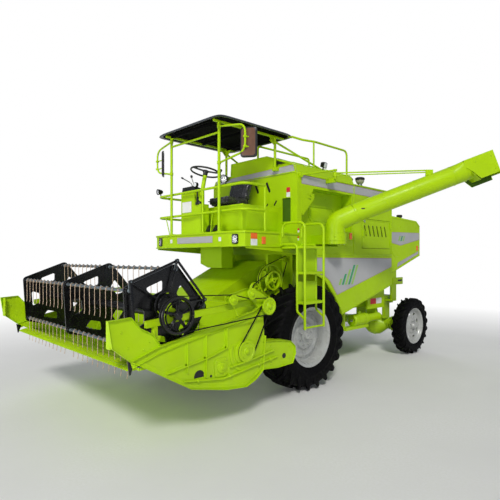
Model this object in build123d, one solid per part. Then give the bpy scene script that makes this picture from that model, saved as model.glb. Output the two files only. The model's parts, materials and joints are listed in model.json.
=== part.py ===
from build123d import *
import math
import os

# Self-propelled combine harvester with a narrow grain header, an open driver's deck under a
# canopy, a grain tank with a swinging unloading auger, and a powered steered rear axle.
# Millimetres. X points to the machine's left, Y to its rear and Z up. The sizes below are
# measured from the ground under the middle of the front axle; the finished pieces are then
# moved so that the origin is the middle of the machine's footprint box, on the ground.

# ---------------------------------------------------------------- wheels and axles
WHEELBASE = 3100
FRONT_TYRE_R, FRONT_TYRE_W, FRONT_RIM_R, FRONT_TRACK = 715, 456, 385, 2080
REAR_TYRE_R, REAR_TYRE_W, REAR_RIM_R, REAR_TRACK = 515, 240, 318, 2100
RIM_WALL = 12
SEAT_GAP = 0.3  # where a moving piece comes to rest on another
PIN_GAP = 0.6  # round a pin, shaft or rod in its bore
HUB_GAP = 0.5  # running gap between a hub and the stub axle it turns on
KINGPIN_X, KINGPIN_R = 860, 26
YOKE_HALF = 100  # half height inside the rear axle's end yokes
STEER_ARM, TIE_R = 245, 16  # from the kingpin to the tie rod's pin; the rod's radius

# ---------------------------------------------------------------- body
BODY_HALF, CORE_HALF = 950, 765
BODY_FRONT, BODY_REAR = 20, 2600
SHEET = 12
FLOOR_Z, EAVES_Z = 1830, 2970  # underside and top edge of the upper body's side walls
TANK_REAR = 1400
SHOULDER_X, SHOULDER_Z = 900, 3110
RIDGE_X, RIDGE_Z = 350, 3300
RAISED_X = 490  # right edge of the roof's raised middle
RECESS_DEPTH = 185
HATCH_X, HATCH_Y = (-325, -15), (300, 1250)
DOOR_Y, DOOR_Z = (1630, 2550), (1940, 2440)
DOOR_GAP = 6
HOOD_HALF, HOOD_REAR = 750, 4100
RAIL_X, RAIL_H, RAIL_BOTTOM = 560, 150, 905  # chassis rails: centre, height and underside

TOW_PIN_Y, TOW_PIN_R = WHEELBASE + 330, 19

# ---------------------------------------------------------------- deck and canopy
DECK_HALF, DECK_FRONT, DECK_Z = 1020, -1060, 2120
FASCIA_BOTTOM = 1925
POST_X, FRONT_POST_Y, REAR_POST_Y, POST_R = 555, -1050, -25, 20
CANOPY_Z, CANOPY_HALF, CANOPY_Y = 3560, 740, (-1190, 200)
PIPE_R = 17
RAIL_Z, MID_RAIL_Z = 2710, 2390
RAIL_HALF, RAIL_FRONT_Y = 1000, -1005
SEAT_X, SEAT_Y = -45, -400
WHEEL_CENTRE = (0, -850, 2990)  # steering wheel
WHEEL_TILT, WHEEL_HUB_DEPTH = 12, 50
LADDER_X, LADDER_Y = (1300, 1430), (-380, 0)

# ---------------------------------------------------------------- unloading auger
SWING_X, SWING_Y, SWING_Z = 1110, 680, 2330
AUGER_TUBE_R, AUGER_WALL = 143, 6
AUGER_RUN, AUGER_RISE_DEG, AUGER_HEADING_DEG = 2330, 21, 45
TURRET_TOP = 2130
SWIVEL_Z = 3020
LUG_RUN = 1400  # level distance from the swing axis to the stay lug

# ---------------------------------------------------------------- header
HEADER_HALF, END_SHEET = 1545, 12
LIFT_Y, LIFT_Z = -100, 1660
FEEDER_HALF, FEEDER_FRONT, FEEDER_REAR = 500, -1270, -160
KNIFE_Y, KNIFE_Z = -2620, 830
TROUGH_Y, TROUGH_Z, TROUGH_R = -1600, 745, 300
BACK_Y, BACK_TOP = -1290, 1262
FLIGHT_R, DRUM_R = 270, 150
REEL_Y, REEL_Z, REEL_R = -2350, 1262, 430
REEL_HALF, REEL_SHAFT_R = HEADER_HALF - 145, 24
ARM_X, ARM_W, ARM_PIN_R = HEADER_HALF - 65, 44, 16
ARM_PIVOT, ARM_TIP_Y = (-1240, 1315), -2600  # the reel arms' hinge (Y, Z) and front end
BAT_COUNT, BAT_R, FIRST_BAT_DEG = 5, 19, 147.5
STAR_X, STAR_RISE, RING_R, ROLLER_R, CRANK_PIN_R = ARM_X - 44, 80, 118, 14, 8
PULLEY_X, PULLEY_R = HEADER_HALF + 55, 175

# ---------------------------------------------------------------- header lift cylinders
RAM_X = 380
RAM_BASE, RAM_EYE = (200, FRONT_TYRE_R - 195), (-900, 728)  # Y and Z of the two pins
RAM_PIN_R = 17
BARREL_LENGTH, BARREL_R, ROD_R, ROD_START = 660, 40, 24, 430


def block(x, y, z):
    """A box from three (low, high) pairs."""
    middle = [(low + high) / 2 for low, high in (x, y, z)]
    return Pos(*middle) * Box(x[1] - x[0], y[1] - y[0], z[1] - z[0])


def prism(points, x_low, x_high):
    """A side outline of (y, z) points, pulled from x_low to x_high."""
    face = make_face(Plane.YZ.offset(x_low) * Polyline(*points, close=True))
    return extrude(face, amount=x_high - x_low, dir=(1, 0, 0))


def drum(x_low, x_high, y, z, radius):
    """A cylinder along X."""
    return Pos((x_low + x_high) / 2, y, z) * Rot(Y=90) * Cylinder(radius, x_high - x_low)


def post(x, y, z_low, z_high, radius=PIPE_R):
    return Pos(x, y, (z_low + z_high) / 2) * Cylinder(radius, z_high - z_low)


def rod(start, end, radius):
    """A cylinder from one point to another."""
    start, end = Vector(*start), Vector(*end)
    plane = Plane(start, z_dir=(end - start).normalized())
    return extrude(plane * Circle(radius), amount=(end - start).length)


def pipe(points, radius=PIPE_R, bend=70):
    """A bent pipe through the points, with round bends."""
    path = FilletPolyline(*points, radius=bend) if len(points) > 2 else Line(*points)
    return sweep(Plane(points[0], z_dir=path % 0) * Circle(radius), path=path)


def on_circle(y, z, radius, degrees):
    angle = math.radians(degrees)
    return (y + radius * math.cos(angle), z + radius * math.sin(angle))


def join(pieces):
    return pieces[0].fuse(*pieces[1:])


def both_sides(piece):
    return piece + mirror(piece, about=Plane.YZ)


parts = {}


# ---------------------------------------------------------------- wheels
def tyre(radius, width, rim_radius):
    """A tyre about the X axis, with a flat tread, round shoulders and bulged walls."""
    half = width / 2
    bead = half * 0.78
    shoulder = half * 0.9
    outline = (
        Polyline(
            (-bead, rim_radius), (-half, rim_radius + (radius - rim_radius) * 0.45),
            (-half, radius - width * 0.16), (-shoulder, radius), (shoulder, radius),
            (half, radius - width * 0.16), (half, rim_radius + (radius - rim_radius) * 0.45),
            (bead, rim_radius), close=True,
        )
    )
    return revolve(make_face(outline), axis=Axis.X)


def rim(radius, width, disc_x, hub_radius, hub_x):
    """A drop-centre rim about X: a wall under the beads, a disc at disc_x and a hub from
    hub_x[0] to hub_x[1]. Outward is +X."""
    half = width / 2 * 0.78
    wall = Rot(Y=90) * (Cylinder(radius, 2 * half) - Cylinder(radius - RIM_WALL, 2 * half))
    disc = drum(disc_x, disc_x + RIM_WALL, 0, 0, radius - RIM_WALL / 2)
    hub = drum(hub_x[0], hub_x[1], 0, 0, hub_radius)
    return wall + disc + hub


WHEELS = (  # name, side, y, radius, width, rim radius, track, disc x, hub radius, hub span
    ("front_left", 1, 0, FRONT_TYRE_R, FRONT_TYRE_W, FRONT_RIM_R, FRONT_TRACK, 60, 115, (-110, 105)),
    ("front_right", -1, 0, FRONT_TYRE_R, FRONT_TYRE_W, FRONT_RIM_R, FRONT_TRACK, 60, 115, (-110, 105)),
    ("rear_left", 1, WHEELBASE, REAR_TYRE_R, REAR_TYRE_W, REAR_RIM_R, REAR_TRACK, 10, 85, (-70, 70)),
    ("rear_right", -1, WHEELBASE, REAR_TYRE_R, REAR_TYRE_W, REAR_RIM_R, REAR_TRACK, 10, 85, (-70, 70)),
)
for name, side, y, radius, width, rim_radius, track, disc_x, hub_radius, hub_x in WHEELS:
    place = Pos(side * track / 2, y, radius)
    turn = Rot(Z=0 if side > 0 else 180)
    parts[name + "_tyre"] = place * turn * tyre(radius, width, rim_radius)
    parts[name + "_rim"] = place * turn * rim(rim_radius, width, disc_x, hub_radius, hub_x)

# ---------------------------------------------------------------- axles
front_hub_inner = FRONT_TRACK / 2 - 110
axle_z = FRONT_TYRE_R
axle_half = drum(0, front_hub_inner - HUB_GAP, 0, axle_z, 75)
final_drive = drum(610, 740, 0, axle_z, 190) + block((610, 740), (-120, 150), (axle_z, RAIL_BOTTOM))
parts["front_axle"] = both_sides(axle_half + final_drive) + block((-260, 150), (-150, 190),
    (560, RAIL_BOTTOM - 8))

rear_hub_inner = REAR_TRACK / 2 - 70
beam_end = KINGPIN_X - 50
rear_z = REAR_TYRE_R
beam = drum(-beam_end + 130, beam_end - 130, WHEELBASE, rear_z, 85)
bulge_outline = [(20, 0), (20, 60), (210, 190), (310, 212), (410, 190), (600, 60), (600, 0)]
bulge = Pos(0, WHEELBASE, rear_z - 40) * revolve(
    make_face(Polyline(*bulge_outline, close=True)), axis=Axis.X)
pivot_bracket = block((-110, 110), (WHEELBASE - 60, WHEELBASE + 60), (rear_z, RAIL_BOTTOM))
yoke = block((beam_end - 135, KINGPIN_X + 40), (WHEELBASE - 50, WHEELBASE + 50),
    (rear_z - 135, rear_z + 135))
yoke -= block((beam_end, KINGPIN_X + 60), (WHEELBASE - 60, WHEELBASE + 60),
    (rear_z - YOKE_HALF, rear_z + YOKE_HALF))
yoke -= post(KINGPIN_X, WHEELBASE, rear_z - 200, rear_z + 200, KINGPIN_R + PIN_GAP)
tie_y = WHEELBASE + STEER_ARM
tie_z = rear_z + 40
cylinder_barrel = drum(-210, 210, tie_y, tie_z, 42) - drum(-220, 220, tie_y, tie_z, TIE_R + PIN_GAP)
cylinder_bracket = block((-90, 90), (WHEELBASE + 60, tie_y - 30), (tie_z - 25, tie_z + 25))
parts["rear_axle"] = beam + bulge + pivot_bracket + both_sides(yoke) + cylinder_barrel + cylinder_bracket

for name, side in (("left", 1), ("right", -1)):
    knuckle_z = (rear_z - YOKE_HALF + 6, rear_z + YOKE_HALF - 6)
    knuckle = post(KINGPIN_X, WHEELBASE, *knuckle_z, 44)
    knuckle += block((KINGPIN_X, KINGPIN_X + 50), (WHEELBASE - 44, WHEELBASE + 44), knuckle_z)
    knuckle += post(KINGPIN_X, WHEELBASE, rear_z - 133, rear_z + 133, KINGPIN_R)
    knuckle += drum(KINGPIN_X + 40, rear_hub_inner - HUB_GAP, WHEELBASE, rear_z, 60)
    arm_plan = [(-12, 30), (-12, 70), (-30, 110), (-30, STEER_ARM + 26), (20, STEER_ARM + 26), (20, 30)]
    arm_face = make_face(Polyline(*arm_plan, close=True))
    knuckle += extrude(Pos(KINGPIN_X, WHEELBASE, tie_z - 52) * arm_face, amount=26)
    parts["steering_knuckle_" + name] = knuckle if side > 0 else mirror(knuckle, about=Plane.YZ)

tie_eye = post(KINGPIN_X - 5, tie_y, tie_z - 20, tie_z + 20, 24)
parts["steering_tie_rod"] = drum(-KINGPIN_X + 12, KINGPIN_X - 12, tie_y, tie_z, TIE_R) + both_sides(tie_eye)

# ---------------------------------------------------------------- chassis frame
rail_z = (RAIL_BOTTOM, RAIL_BOTTOM + RAIL_H)
rail_end = WHEELBASE + 160
rails = both_sides(block((RAIL_X - 45, RAIL_X + 45), (-130, rail_end), rail_z))
for cross_y in (0, 1150, WHEELBASE):
    rails += block((-RAIL_X, RAIL_X), (cross_y - 60, cross_y + 60), rail_z)
rails += block((-RAIL_X, RAIL_X), (rail_end - 60, rail_end), rail_z)
rails += block((-130, 130), (rail_end - 5, TOW_PIN_Y + 60), (RAIL_BOTTOM + 60, RAIL_BOTTOM + 90))
rails -= post(0, TOW_PIN_Y, 800, 1200, TOW_PIN_R)
rails += both_sides(block((RAIL_X, 735), (-110, 140), rail_z))
# stands that carry the straw hood, and the oil tank slung along the left rail
hood_wall = HOOD_HALF - SHEET
stand_y = (WHEELBASE - 130, WHEELBASE + 50)
stand = block((RAIL_X - 30, RAIL_X + 30), stand_y, (rear_z + 95, RAIL_BOTTOM + 1))
outrigger = block((RAIL_X, hood_wall), stand_y, (RAIL_BOTTOM + 50, RAIL_BOTTOM + 90))
hood_post = block((hood_wall - 36, hood_wall), stand_y, (RAIL_BOTTOM + 50, 1620))
rails += both_sides(stand + outrigger + hood_post)
OIL_TANK_X, OIL_TANK_Z = 720, 714
for tank_y, radius in (((1690, 2070), 105), ((2070, 2520), 72)):
    rails += rod((OIL_TANK_X, tank_y[0], OIL_TANK_Z), (OIL_TANK_X, tank_y[1], OIL_TANK_Z), radius)
rails += block((OIL_TANK_X - 60, OIL_TANK_X + 60), (1420, 2100), (570, 622))
for strap_y in (1460, 2450):
    rails += block((RAIL_X - 20, OIL_TANK_X), (strap_y - 25, strap_y + 25), (600, RAIL_BOTTOM + 20))
parts["chassis_frame"] = rails

# ---------------------------------------------------------------- threshing body and side panels
core_bottom = RAIL_BOTTOM + RAIL_H
core_outline = [(120, FLOOR_Z), (120, 1180), (420, core_bottom), (2540, core_bottom), (2600, 1320),
    (2600, FLOOR_Z)]
shoe_side = prism([(2060, 880), (2620, 880), (2620, 1240), (2540, 1240), (2060, 1120)], CORE_HALF - 20,
    CORE_HALF + 20)
parts["threshing_body"] = prism(core_outline, -CORE_HALF, CORE_HALF) + both_sides(shoe_side)

panel_outline = [
    (100, FLOOR_Z), (100, 1570), (450, 1530), (640, 1450), (890, 1180), (1050, 950), (1075, 890),
    (2600, 1290), (2600, FLOOR_Z),
]
for name, side in (("left", 1), ("right", -1)):
    panel = prism(panel_outline, BODY_HALF - 20, BODY_HALF)
    for rib_y in (1250, 1900, 2520):
        panel += block((CORE_HALF, BODY_HALF - 10), (rib_y, rib_y + 30), (1500, 1760))
    parts[name + "_side_panel"] = panel if side > 0 else mirror(panel, about=Plane.YZ)

# ---------------------------------------------------------------- grain tank
def roof_section(inset):
    """Half of the tank's cross-section above the floor, as (x, z) points, inset by a wall."""
    return [
        (BODY_HALF - inset, EAVES_Z), (SHOULDER_X - inset * 0.7, SHOULDER_Z - inset * 0.7),
        (RIDGE_X - inset * 0.3, RIDGE_Z - inset),
    ]


def low_roof_section(inset):
    """The right half: level with the shoulder as far as the raised middle of the roof."""
    return [
        (BODY_HALF - inset, EAVES_Z), (890 - inset * 0.7, 3065 - inset),
        (RAISED_X - inset, SHOULDER_Z - inset), (RAISED_X - 15 - inset, RIDGE_Z - inset),
    ]


def across(points, y_low, y_high):
    """An (x, z) outline pulled along Y."""
    face = make_face(Plane.XZ.offset(-y_low) * Polyline(*points, close=True))
    return extrude(face, amount=y_high - y_low, dir=(0, 1, 0))


def cross_prism(left, right, y_low, y_high):
    """Two (x, z) half outlines, the right one given for +X, pulled along Y."""
    return across(list(left) + [(-x, z) for x, z in reversed(right)], y_low, y_high)


tank = cross_prism([(BODY_HALF, FLOOR_Z)] + roof_section(0), [(BODY_HALF, FLOOR_Z)] + low_roof_section(0),
    BODY_FRONT, TANK_REAR)
tank_envelope = tank
HOPPER_Z, HOPPER_FLOOR_Z = 2480, 2130
left_inner = BODY_HALF - RECESS_DEPTH - SHEET
hopper_outline = [
    (BODY_FRONT + SHEET, EAVES_Z), (BODY_FRONT + SHEET, HOPPER_Z), (560, HOPPER_FLOOR_Z),
    (800, HOPPER_FLOOR_Z), (TANK_REAR - SHEET, HOPPER_Z), (TANK_REAR - SHEET, EAVES_Z),
]
tank -= prism(hopper_outline, -BODY_HALF + SHEET, left_inner)
tank -= cross_prism(
    [(left_inner, EAVES_Z - 1), (left_inner, 3120), (RIDGE_X - 4, RIDGE_Z - SHEET)],
    [(BODY_HALF - SHEET, EAVES_Z - 1)] + low_roof_section(SHEET), BODY_FRONT + SHEET, TANK_REAR - SHEET)
tank -= block(HATCH_X, HATCH_Y, (3200, 3400))
recess_outline = [(380, 2790), (1330, 2790), (1330, 2200), (960, 2200), (960, 1960), (110, 1960),
    (110, 2400)]
tank -= prism(recess_outline, BODY_HALF - RECESS_DEPTH, BODY_HALF + 10)
parts["grain_tank"] = tank

lid_z = RIDGE_Z + SEAT_GAP
parts["tank_lid"] = (
    block((HATCH_X[0] - 25, HATCH_X[1] + 20), (HATCH_Y[0] - 25, HATCH_Y[1] + 25), (lid_z, lid_z + 14))
)
LID_HINGE_X, LID_HINGE_Z = HATCH_X[0] - 25, lid_z + 26
for hinge_y in (420, 1110):
    parts["tank_lid"] += drum(0, 120, 0, 0, 12).rotate(Axis.Z, 90).translate(
        (LID_HINGE_X, hinge_y - 60, LID_HINGE_Z)
    ) + block((LID_HINGE_X, LID_HINGE_X + 30), (hinge_y - 60, hinge_y + 60), (lid_z, LID_HINGE_Z))

# ---------------------------------------------------------------- engine bay
bay = block((-BODY_HALF, BODY_HALF), (TANK_REAR, BODY_REAR), (FLOOR_Z, EAVES_Z))
bay -= block((-BODY_HALF + SHEET, BODY_HALF - 30), (TANK_REAR + SHEET, BODY_REAR - SHEET),
             (FLOOR_Z + SHEET, EAVES_Z - SHEET))
bay -= block((BODY_HALF - 60, BODY_HALF + 10), DOOR_Y, DOOR_Z)
DOOR_HINGE_X, DOOR_HINGE_Y = BODY_HALF + 8, DOOR_Y[1] - 18
DOOR_PIN_R, DOOR_KNUCKLES = 5, ((2020, 2090), (2320, 2390))
for low_z, high_z in DOOR_KNUCKLES:
    bay += post(DOOR_HINGE_X, DOOR_HINGE_Y, low_z - 20, high_z + 20, DOOR_PIN_R)
    for tab_z in ((low_z - 20, low_z - SEAT_GAP), (high_z + SEAT_GAP, high_z + 20)):
        bay += post(DOOR_HINGE_X, DOOR_HINGE_Y, *tab_z, 8 - 2 * SEAT_GAP)
        bay += block((BODY_HALF + SEAT_GAP, DOOR_HINGE_X + 6), (DOOR_HINGE_Y, DOOR_Y[1] + 20), tab_z)
        bay += block((BODY_HALF - 1, DOOR_HINGE_X + 6), (DOOR_Y[1] + 2, DOOR_Y[1] + 20), tab_z)
parts["engine_bay"] = bay
parts["engine_block"] = block((-430, 430), (1650, 2350), (FLOOR_Z + SHEET, 2560))
door = block((BODY_HALF - 24, BODY_HALF), (DOOR_Y[0] + DOOR_GAP, DOOR_Y[1] - DOOR_GAP),
             (DOOR_Z[0] + DOOR_GAP, DOOR_Z[1] - DOOR_GAP))
for low_z, high_z in DOOR_KNUCKLES:
    door += post(DOOR_HINGE_X, DOOR_HINGE_Y, low_z, high_z, 10)
    door -= post(DOOR_HINGE_X, DOOR_HINGE_Y, low_z, high_z, DOOR_PIN_R + SEAT_GAP)
parts["engine_door"] = door

# ---------------------------------------------------------------- straw hood
hood_outline = [
    (BODY_REAR, 2600), (3950, 2545), (HOOD_REAR, 2450), (HOOD_REAR, 1830), (3080, 1530), (BODY_REAR, 1400),
]
hood_inner = [
    (BODY_REAR + SHEET, 2600 - SHEET), (3945, 2545 - SHEET), (HOOD_REAR - SHEET, 2440),
        (HOOD_REAR - SHEET, 1900),
    (HOOD_REAR - SHEET, 1700), (3080, 1400), (BODY_REAR + SHEET, 1270),
]
hood = prism(hood_outline, -HOOD_HALF, HOOD_HALF) - prism(hood_inner, -HOOD_HALF + SHEET, HOOD_HALF - SHEET)
parts["straw_hood"] = hood

# ---------------------------------------------------------------- driver's deck
deck_plan = [
    (-DECK_HALF, DECK_FRONT + 45), (-760, DECK_FRONT), (760, DECK_FRONT), (DECK_HALF, DECK_FRONT + 45),
    (DECK_HALF, BODY_FRONT - 1), (-DECK_HALF, BODY_FRONT - 1),
]
deck = extrude(Pos(0, 0, FASCIA_BOTTOM) * make_face(Polyline(*deck_plan, close=True)),
    amount=DECK_Z - FASCIA_BOTTOM)
deck -= block((-DECK_HALF + 16, DECK_HALF - 16), (DECK_FRONT + 62, BODY_FRONT - 100), (1700, DECK_Z - 14))
for joist_x in (-520, 520):
    deck += block((joist_x - 35, joist_x + 35), (DECK_FRONT + 30, BODY_FRONT - 1), (1990, DECK_Z - 7))
skirt_outline = [(-1000, FASCIA_BOTTOM + 2), (-1000, 1905), (-100, 1845), (BODY_FRONT - 1, 1845),
    (BODY_FRONT - 1, FASCIA_BOTTOM + 2)]
deck += both_sides(prism(skirt_outline, DECK_HALF - 16, DECK_HALF))
parts["driver_deck"] = deck
battery_outline = [(-410, 1989), (-410, 1700), (-230, 1640), (90, 1640), (90, 1989)]
battery_tray = block((-510, -400), (-600, -460), (1980, 1990))
parts["battery_box"] = across(battery_outline, -640, -430) + battery_tray

parts["seat_box"] = block((-560, 660), (-740, BODY_FRONT - 1), (DECK_Z, 2500))
cushion = block((SEAT_X - 235, SEAT_X + 235), (SEAT_Y - 220, SEAT_Y + 210), (2560, 2670))
pedestal = block((SEAT_X - 160, SEAT_X + 160), (SEAT_Y - 140, SEAT_Y + 140), (2500, 2560))
backrest = Pos(SEAT_X, SEAT_Y + 220, 2800) * Rot(X=-8) * Box(460, 90, 300)
parts["driver_seat"] = fillet(cushion.edges(), 25) + fillet(backrest.edges(), 25) + pedestal

console = block((-440, -110), (-960, -790), (DECK_Z, 2740))
column = Vector(0, math.sin(math.radians(WHEEL_TILT)), math.cos(math.radians(WHEEL_TILT)))
column_foot = Vector(*WHEEL_CENTRE) - column * 500
column_top = Vector(*WHEEL_CENTRE) - column * (WHEEL_HUB_DEPTH + SEAT_GAP)
console += block((-111, 60), (-975, -840), (DECK_Z, 2530))
parts["steering_console"] = console + rod(column_foot, column_top, 28)
steering = Torus(205, 12) + Cylinder(38, 30) + Box(400, 22, 10) + Pos(0, 103, 0) * Box(22, 200, 10)
steering += Pos(0, 0, -WHEEL_HUB_DEPTH / 2) * Cylinder(30, WHEEL_HUB_DEPTH)
parts["steering_wheel"] = Pos(*WHEEL_CENTRE) * Rot(X=-WHEEL_TILT) * steering

# ---------------------------------------------------------------- canopy
roof = block((-CANOPY_HALF, CANOPY_HALF), CANOPY_Y, (CANOPY_Z, CANOPY_Z + 28))
dome = loft([
    Pos(0, (CANOPY_Y[0] + CANOPY_Y[1]) / 2, CANOPY_Z + 28) * Rectangle(2 * CANOPY_HALF - 30,
        CANOPY_Y[1] - CANOPY_Y[0] - 30),
    Pos(0, (CANOPY_Y[0] + CANOPY_Y[1]) / 2, CANOPY_Z + 62) * Rectangle(2 * CANOPY_HALF - 500,
        CANOPY_Y[1] - CANOPY_Y[0] - 500),
])
parts["canopy_roof"] = roof + dome

beam_z = CANOPY_Z - 22
canopy_posts = (  # y, foot height
    (FRONT_POST_Y, DECK_Z), (REAR_POST_Y, SHOULDER_Z - 70),
)
pieces = []
for side in (-1, 1):
    for post_y, foot_z in canopy_posts:
        pieces.append(post(side * POST_X, post_y, foot_z, CANOPY_Z, POST_R))
    pieces.append(block((side * POST_X - 20, side * POST_X + 20), (CANOPY_Y[0] + 40, CANOPY_Y[1] - 40),
        (CANOPY_Z - 40, CANOPY_Z)))
    brace_foot_z = 3215 if side > 0 else SHOULDER_Z - 20
    pieces.append(rod((side * POST_X, REAR_POST_Y, beam_z - 60), (side * POST_X, 800, brace_foot_z), 15))
    pieces.append(block((side * POST_X - 45, side * POST_X + 45), (REAR_POST_Y - 25, BODY_FRONT),
        (SHOULDER_Z - 70, SHOULDER_Z - 6)))
for beam_y in (FRONT_POST_Y, -500, REAR_POST_Y):
    pieces.append(block((-POST_X, POST_X), (beam_y - 20, beam_y + 20), (CANOPY_Z - 40, CANOPY_Z)))
pieces.append(pipe([(-POST_X, FRONT_POST_Y, 3400), (POST_X, FRONT_POST_Y, 3400)], 14))
parts["canopy_frame"] = join(pieces) - tank_envelope

# ---------------------------------------------------------------- deck railing and mirrors
def railing():
    rails = None
    for z in (RAIL_Z, MID_RAIL_Z):
        loop = pipe([
            (-RAIL_HALF, -560, z), (-RAIL_HALF, RAIL_FRONT_Y, z), (RAIL_HALF, RAIL_FRONT_Y, z),
                (RAIL_HALF, -660, z),
        ], PIPE_R, 110)
        rails = loop if rails is None else rails + loop
    for x, y in ((-RAIL_HALF, -560), (RAIL_HALF, -660), (143, RAIL_FRONT_Y)):
        rails += post(x, y, DECK_Z, RAIL_Z, 14)
    return rails


parts["deck_railing"] = railing()

MIRROR_BOWS = ((1, 1060, 1120), (-1, 945, 815))  # side, reach of the bow, middle of the glass
MIRROR_Z, MIRROR_TURN = 3190, 26
mirror_bows = None
for side, reach, glass_x in MIRROR_BOWS:
    bow = pipe([
        (side * POST_X, FRONT_POST_Y, 3475), (side * reach, FRONT_POST_Y, 3400),
        (side * reach, FRONT_POST_Y, 3075), (side * POST_X, FRONT_POST_Y, 3005),
    ], 13, 60)
    bow -= post(side * POST_X, FRONT_POST_Y, DECK_Z, CANOPY_Z, POST_R)
    for arm_z in (MIRROR_Z - 60, MIRROR_Z + 60):
        bow += rod((side * reach, FRONT_POST_Y, arm_z), (side * glass_x, FRONT_POST_Y, arm_z), 9)
    glass = Box(240, 34, 370)
    glass = fillet(glass.edges().filter_by(Axis.Y), 40)
    bow += Pos(side * glass_x, FRONT_POST_Y, MIRROR_Z) * Rot(Z=side * MIRROR_TURN) * glass
    mirror_bows = bow if mirror_bows is None else mirror_bows + bow
parts["mirrors"] = mirror_bows

# ---------------------------------------------------------------- ladder and hand rails
inner_x, outer_x = LADDER_X
foot_x = DECK_HALF + 22  # where the hand rails stand on the deck's edge
STEPS = (1210, 1590, 1920)  # tread heights
step_y = (LADDER_Y[0] + 6, LADDER_Y[1] - 6)
ladder_pieces = [
    pipe([(outer_x, LADDER_Y[0], 900), (outer_x, LADDER_Y[1], 900)], 13),
    block((DECK_HALF, outer_x - 140), step_y, (1905, 1935)),
]
for y in LADDER_Y:
    ladder_pieces += [
        pipe([(foot_x, y, 2060), (foot_x, y, 2240), (outer_x, y, 2240), (outer_x, y, 880)], PIPE_R, 90),
        pipe([(foot_x, y, 1960), (inner_x, y, 1960), (inner_x, y, 1100), (outer_x, y, 1010)], 15, 55),
        block((DECK_HALF, foot_x + 6), (y - 30, y + 30), (1940, 2112)),
    ]
for step_z in STEPS:
    ladder_pieces.append(block((inner_x - 10, outer_x + 6), step_y, (step_z - 15, step_z + 15)))
for low_z, high_z in ((1224, 1480), (1604, 1906)):
    ladder_pieces.append(block((inner_x - 6, inner_x + 5), step_y, (low_z, high_z)))
ladder = join(ladder_pieces)
parts["ladder"] = ladder

# ---------------------------------------------------------------- tank top railing
TOP_RAIL_Z = 3520
TOP_RAILS = ((850, 60, 3060, 90), (50, 110, RIDGE_Z - 30, 60))  # x, front y, foot height, bend
top_rail = join([
    piece for x, front_y, foot_z, bend in TOP_RAILS for piece in (
        pipe([(x, front_y, foot_z), (x, front_y, TOP_RAIL_Z), (x, 1340, TOP_RAIL_Z), (x, 1340, foot_z)],
            PIPE_R, bend),
        post(x, 500, foot_z, TOP_RAIL_Z, 13),
    )
])
parts["tank_railing"] = top_rail - tank_envelope

# ---------------------------------------------------------------- unloading auger
turret = post(SWING_X, SWING_Y, 1985, TURRET_TOP, 165)
turret += block((BODY_HALF - RECESS_DEPTH, SWING_X), (SWING_Y - 140, SWING_Y + 140),
    (1985, TURRET_TOP - 10))
parts["auger_turret"] = turret

heading = Vector(math.sin(math.radians(AUGER_HEADING_DEG)), math.cos(math.radians(AUGER_HEADING_DEG)), 0)
rise = math.tan(math.radians(AUGER_RISE_DEG))
direction = (heading + Vector(0, 0, rise)).normalized()
elbow_centre = Vector(SWING_X, SWING_Y, SWING_Z)
tube_end = elbow_centre + (heading + Vector(0, 0, rise)) * AUGER_RUN
elbow = post(SWING_X, SWING_Y, TURRET_TOP + SEAT_GAP, SWING_Z, AUGER_TUBE_R + 5)
elbow += Pos(*elbow_centre) * Sphere(AUGER_TUBE_R + 5)
elbow += post(SWING_X, SWING_Y, TURRET_TOP + SEAT_GAP, TURRET_TOP + 16, 165)
elbow += rod(elbow_centre, elbow_centre + direction * 300, AUGER_TUBE_R + 5)
tube = rod(elbow_centre + direction * 300, tube_end - direction * 320, AUGER_TUBE_R)
tube -= rod(elbow_centre + direction * 320, tube_end, AUGER_TUBE_R - AUGER_WALL)
# the spout: a flat-sided box on the tube's end, square to the tube and open along its lower face
sideways = Vector(heading.Y, -heading.X, 0)
upward = sideways.cross(direction)


def spout_box(points, half_width):
    """An outline given along and above the tube's axis, from its end, made half_width to each side."""
    plane = Plane(tube_end - sideways * half_width, x_dir=direction, z_dir=sideways)
    face = make_face(plane * Polyline(*points, close=True))
    return extrude(face, amount=2 * half_width, dir=sideways)


spout = spout_box([(-480, -30), (-345, -200), (8, -200), (8, 148), (-480, 148)], 148)
spout -= spout_box([(-450, -30), (-330, -181), (-320, -230), (-4, -230), (-4, 136), (-450, 136)], 136)
spout -= rod(elbow_centre + direction * 320, tube_end - direction * 320, AUGER_TUBE_R - 1)
spout += rod(tube_end, tube_end + direction * 45, 40)
parts["auger_elbow"] = elbow
parts["auger_tube"] = tube + spout
spout_mouth = tube_end - direction * 170 - upward * 150
lug_foot = elbow_centre + (heading + Vector(0, 0, rise)) * LUG_RUN
lug_pin = lug_foot + Vector(0, 0, AUGER_TUBE_R / math.cos(math.radians(AUGER_RISE_DEG)) + 45)
lug_plane = Plane(lug_foot, x_dir=heading, z_dir=(0, 0, 1))
lug = lug_plane * Pos(0, 0, AUGER_TUBE_R + 38) * Box(110, 30, 90)
lug -= rod(elbow_centre, tube_end, AUGER_TUBE_R)
swivel_pin = Vector(SWING_X, SWING_Y, SWIVEL_Z)
stays = rod(swivel_pin + Vector(0, 0, 22) + heading * 20, lug_pin + Vector(0, 0, 20), 11)
stays += rod(swivel_pin + Vector(0, 0, -14) + heading * 20, lug_pin - Vector(0, 0, 10), 9)
stays += post(SWING_X, SWING_Y, SWIVEL_Z - 40, SWIVEL_Z + 36, 30) - post(SWING_X, SWING_Y,
    SWIVEL_Z - 90, SWIVEL_Z + 90, 14)
parts["auger_stays"] = stays + lug

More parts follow.
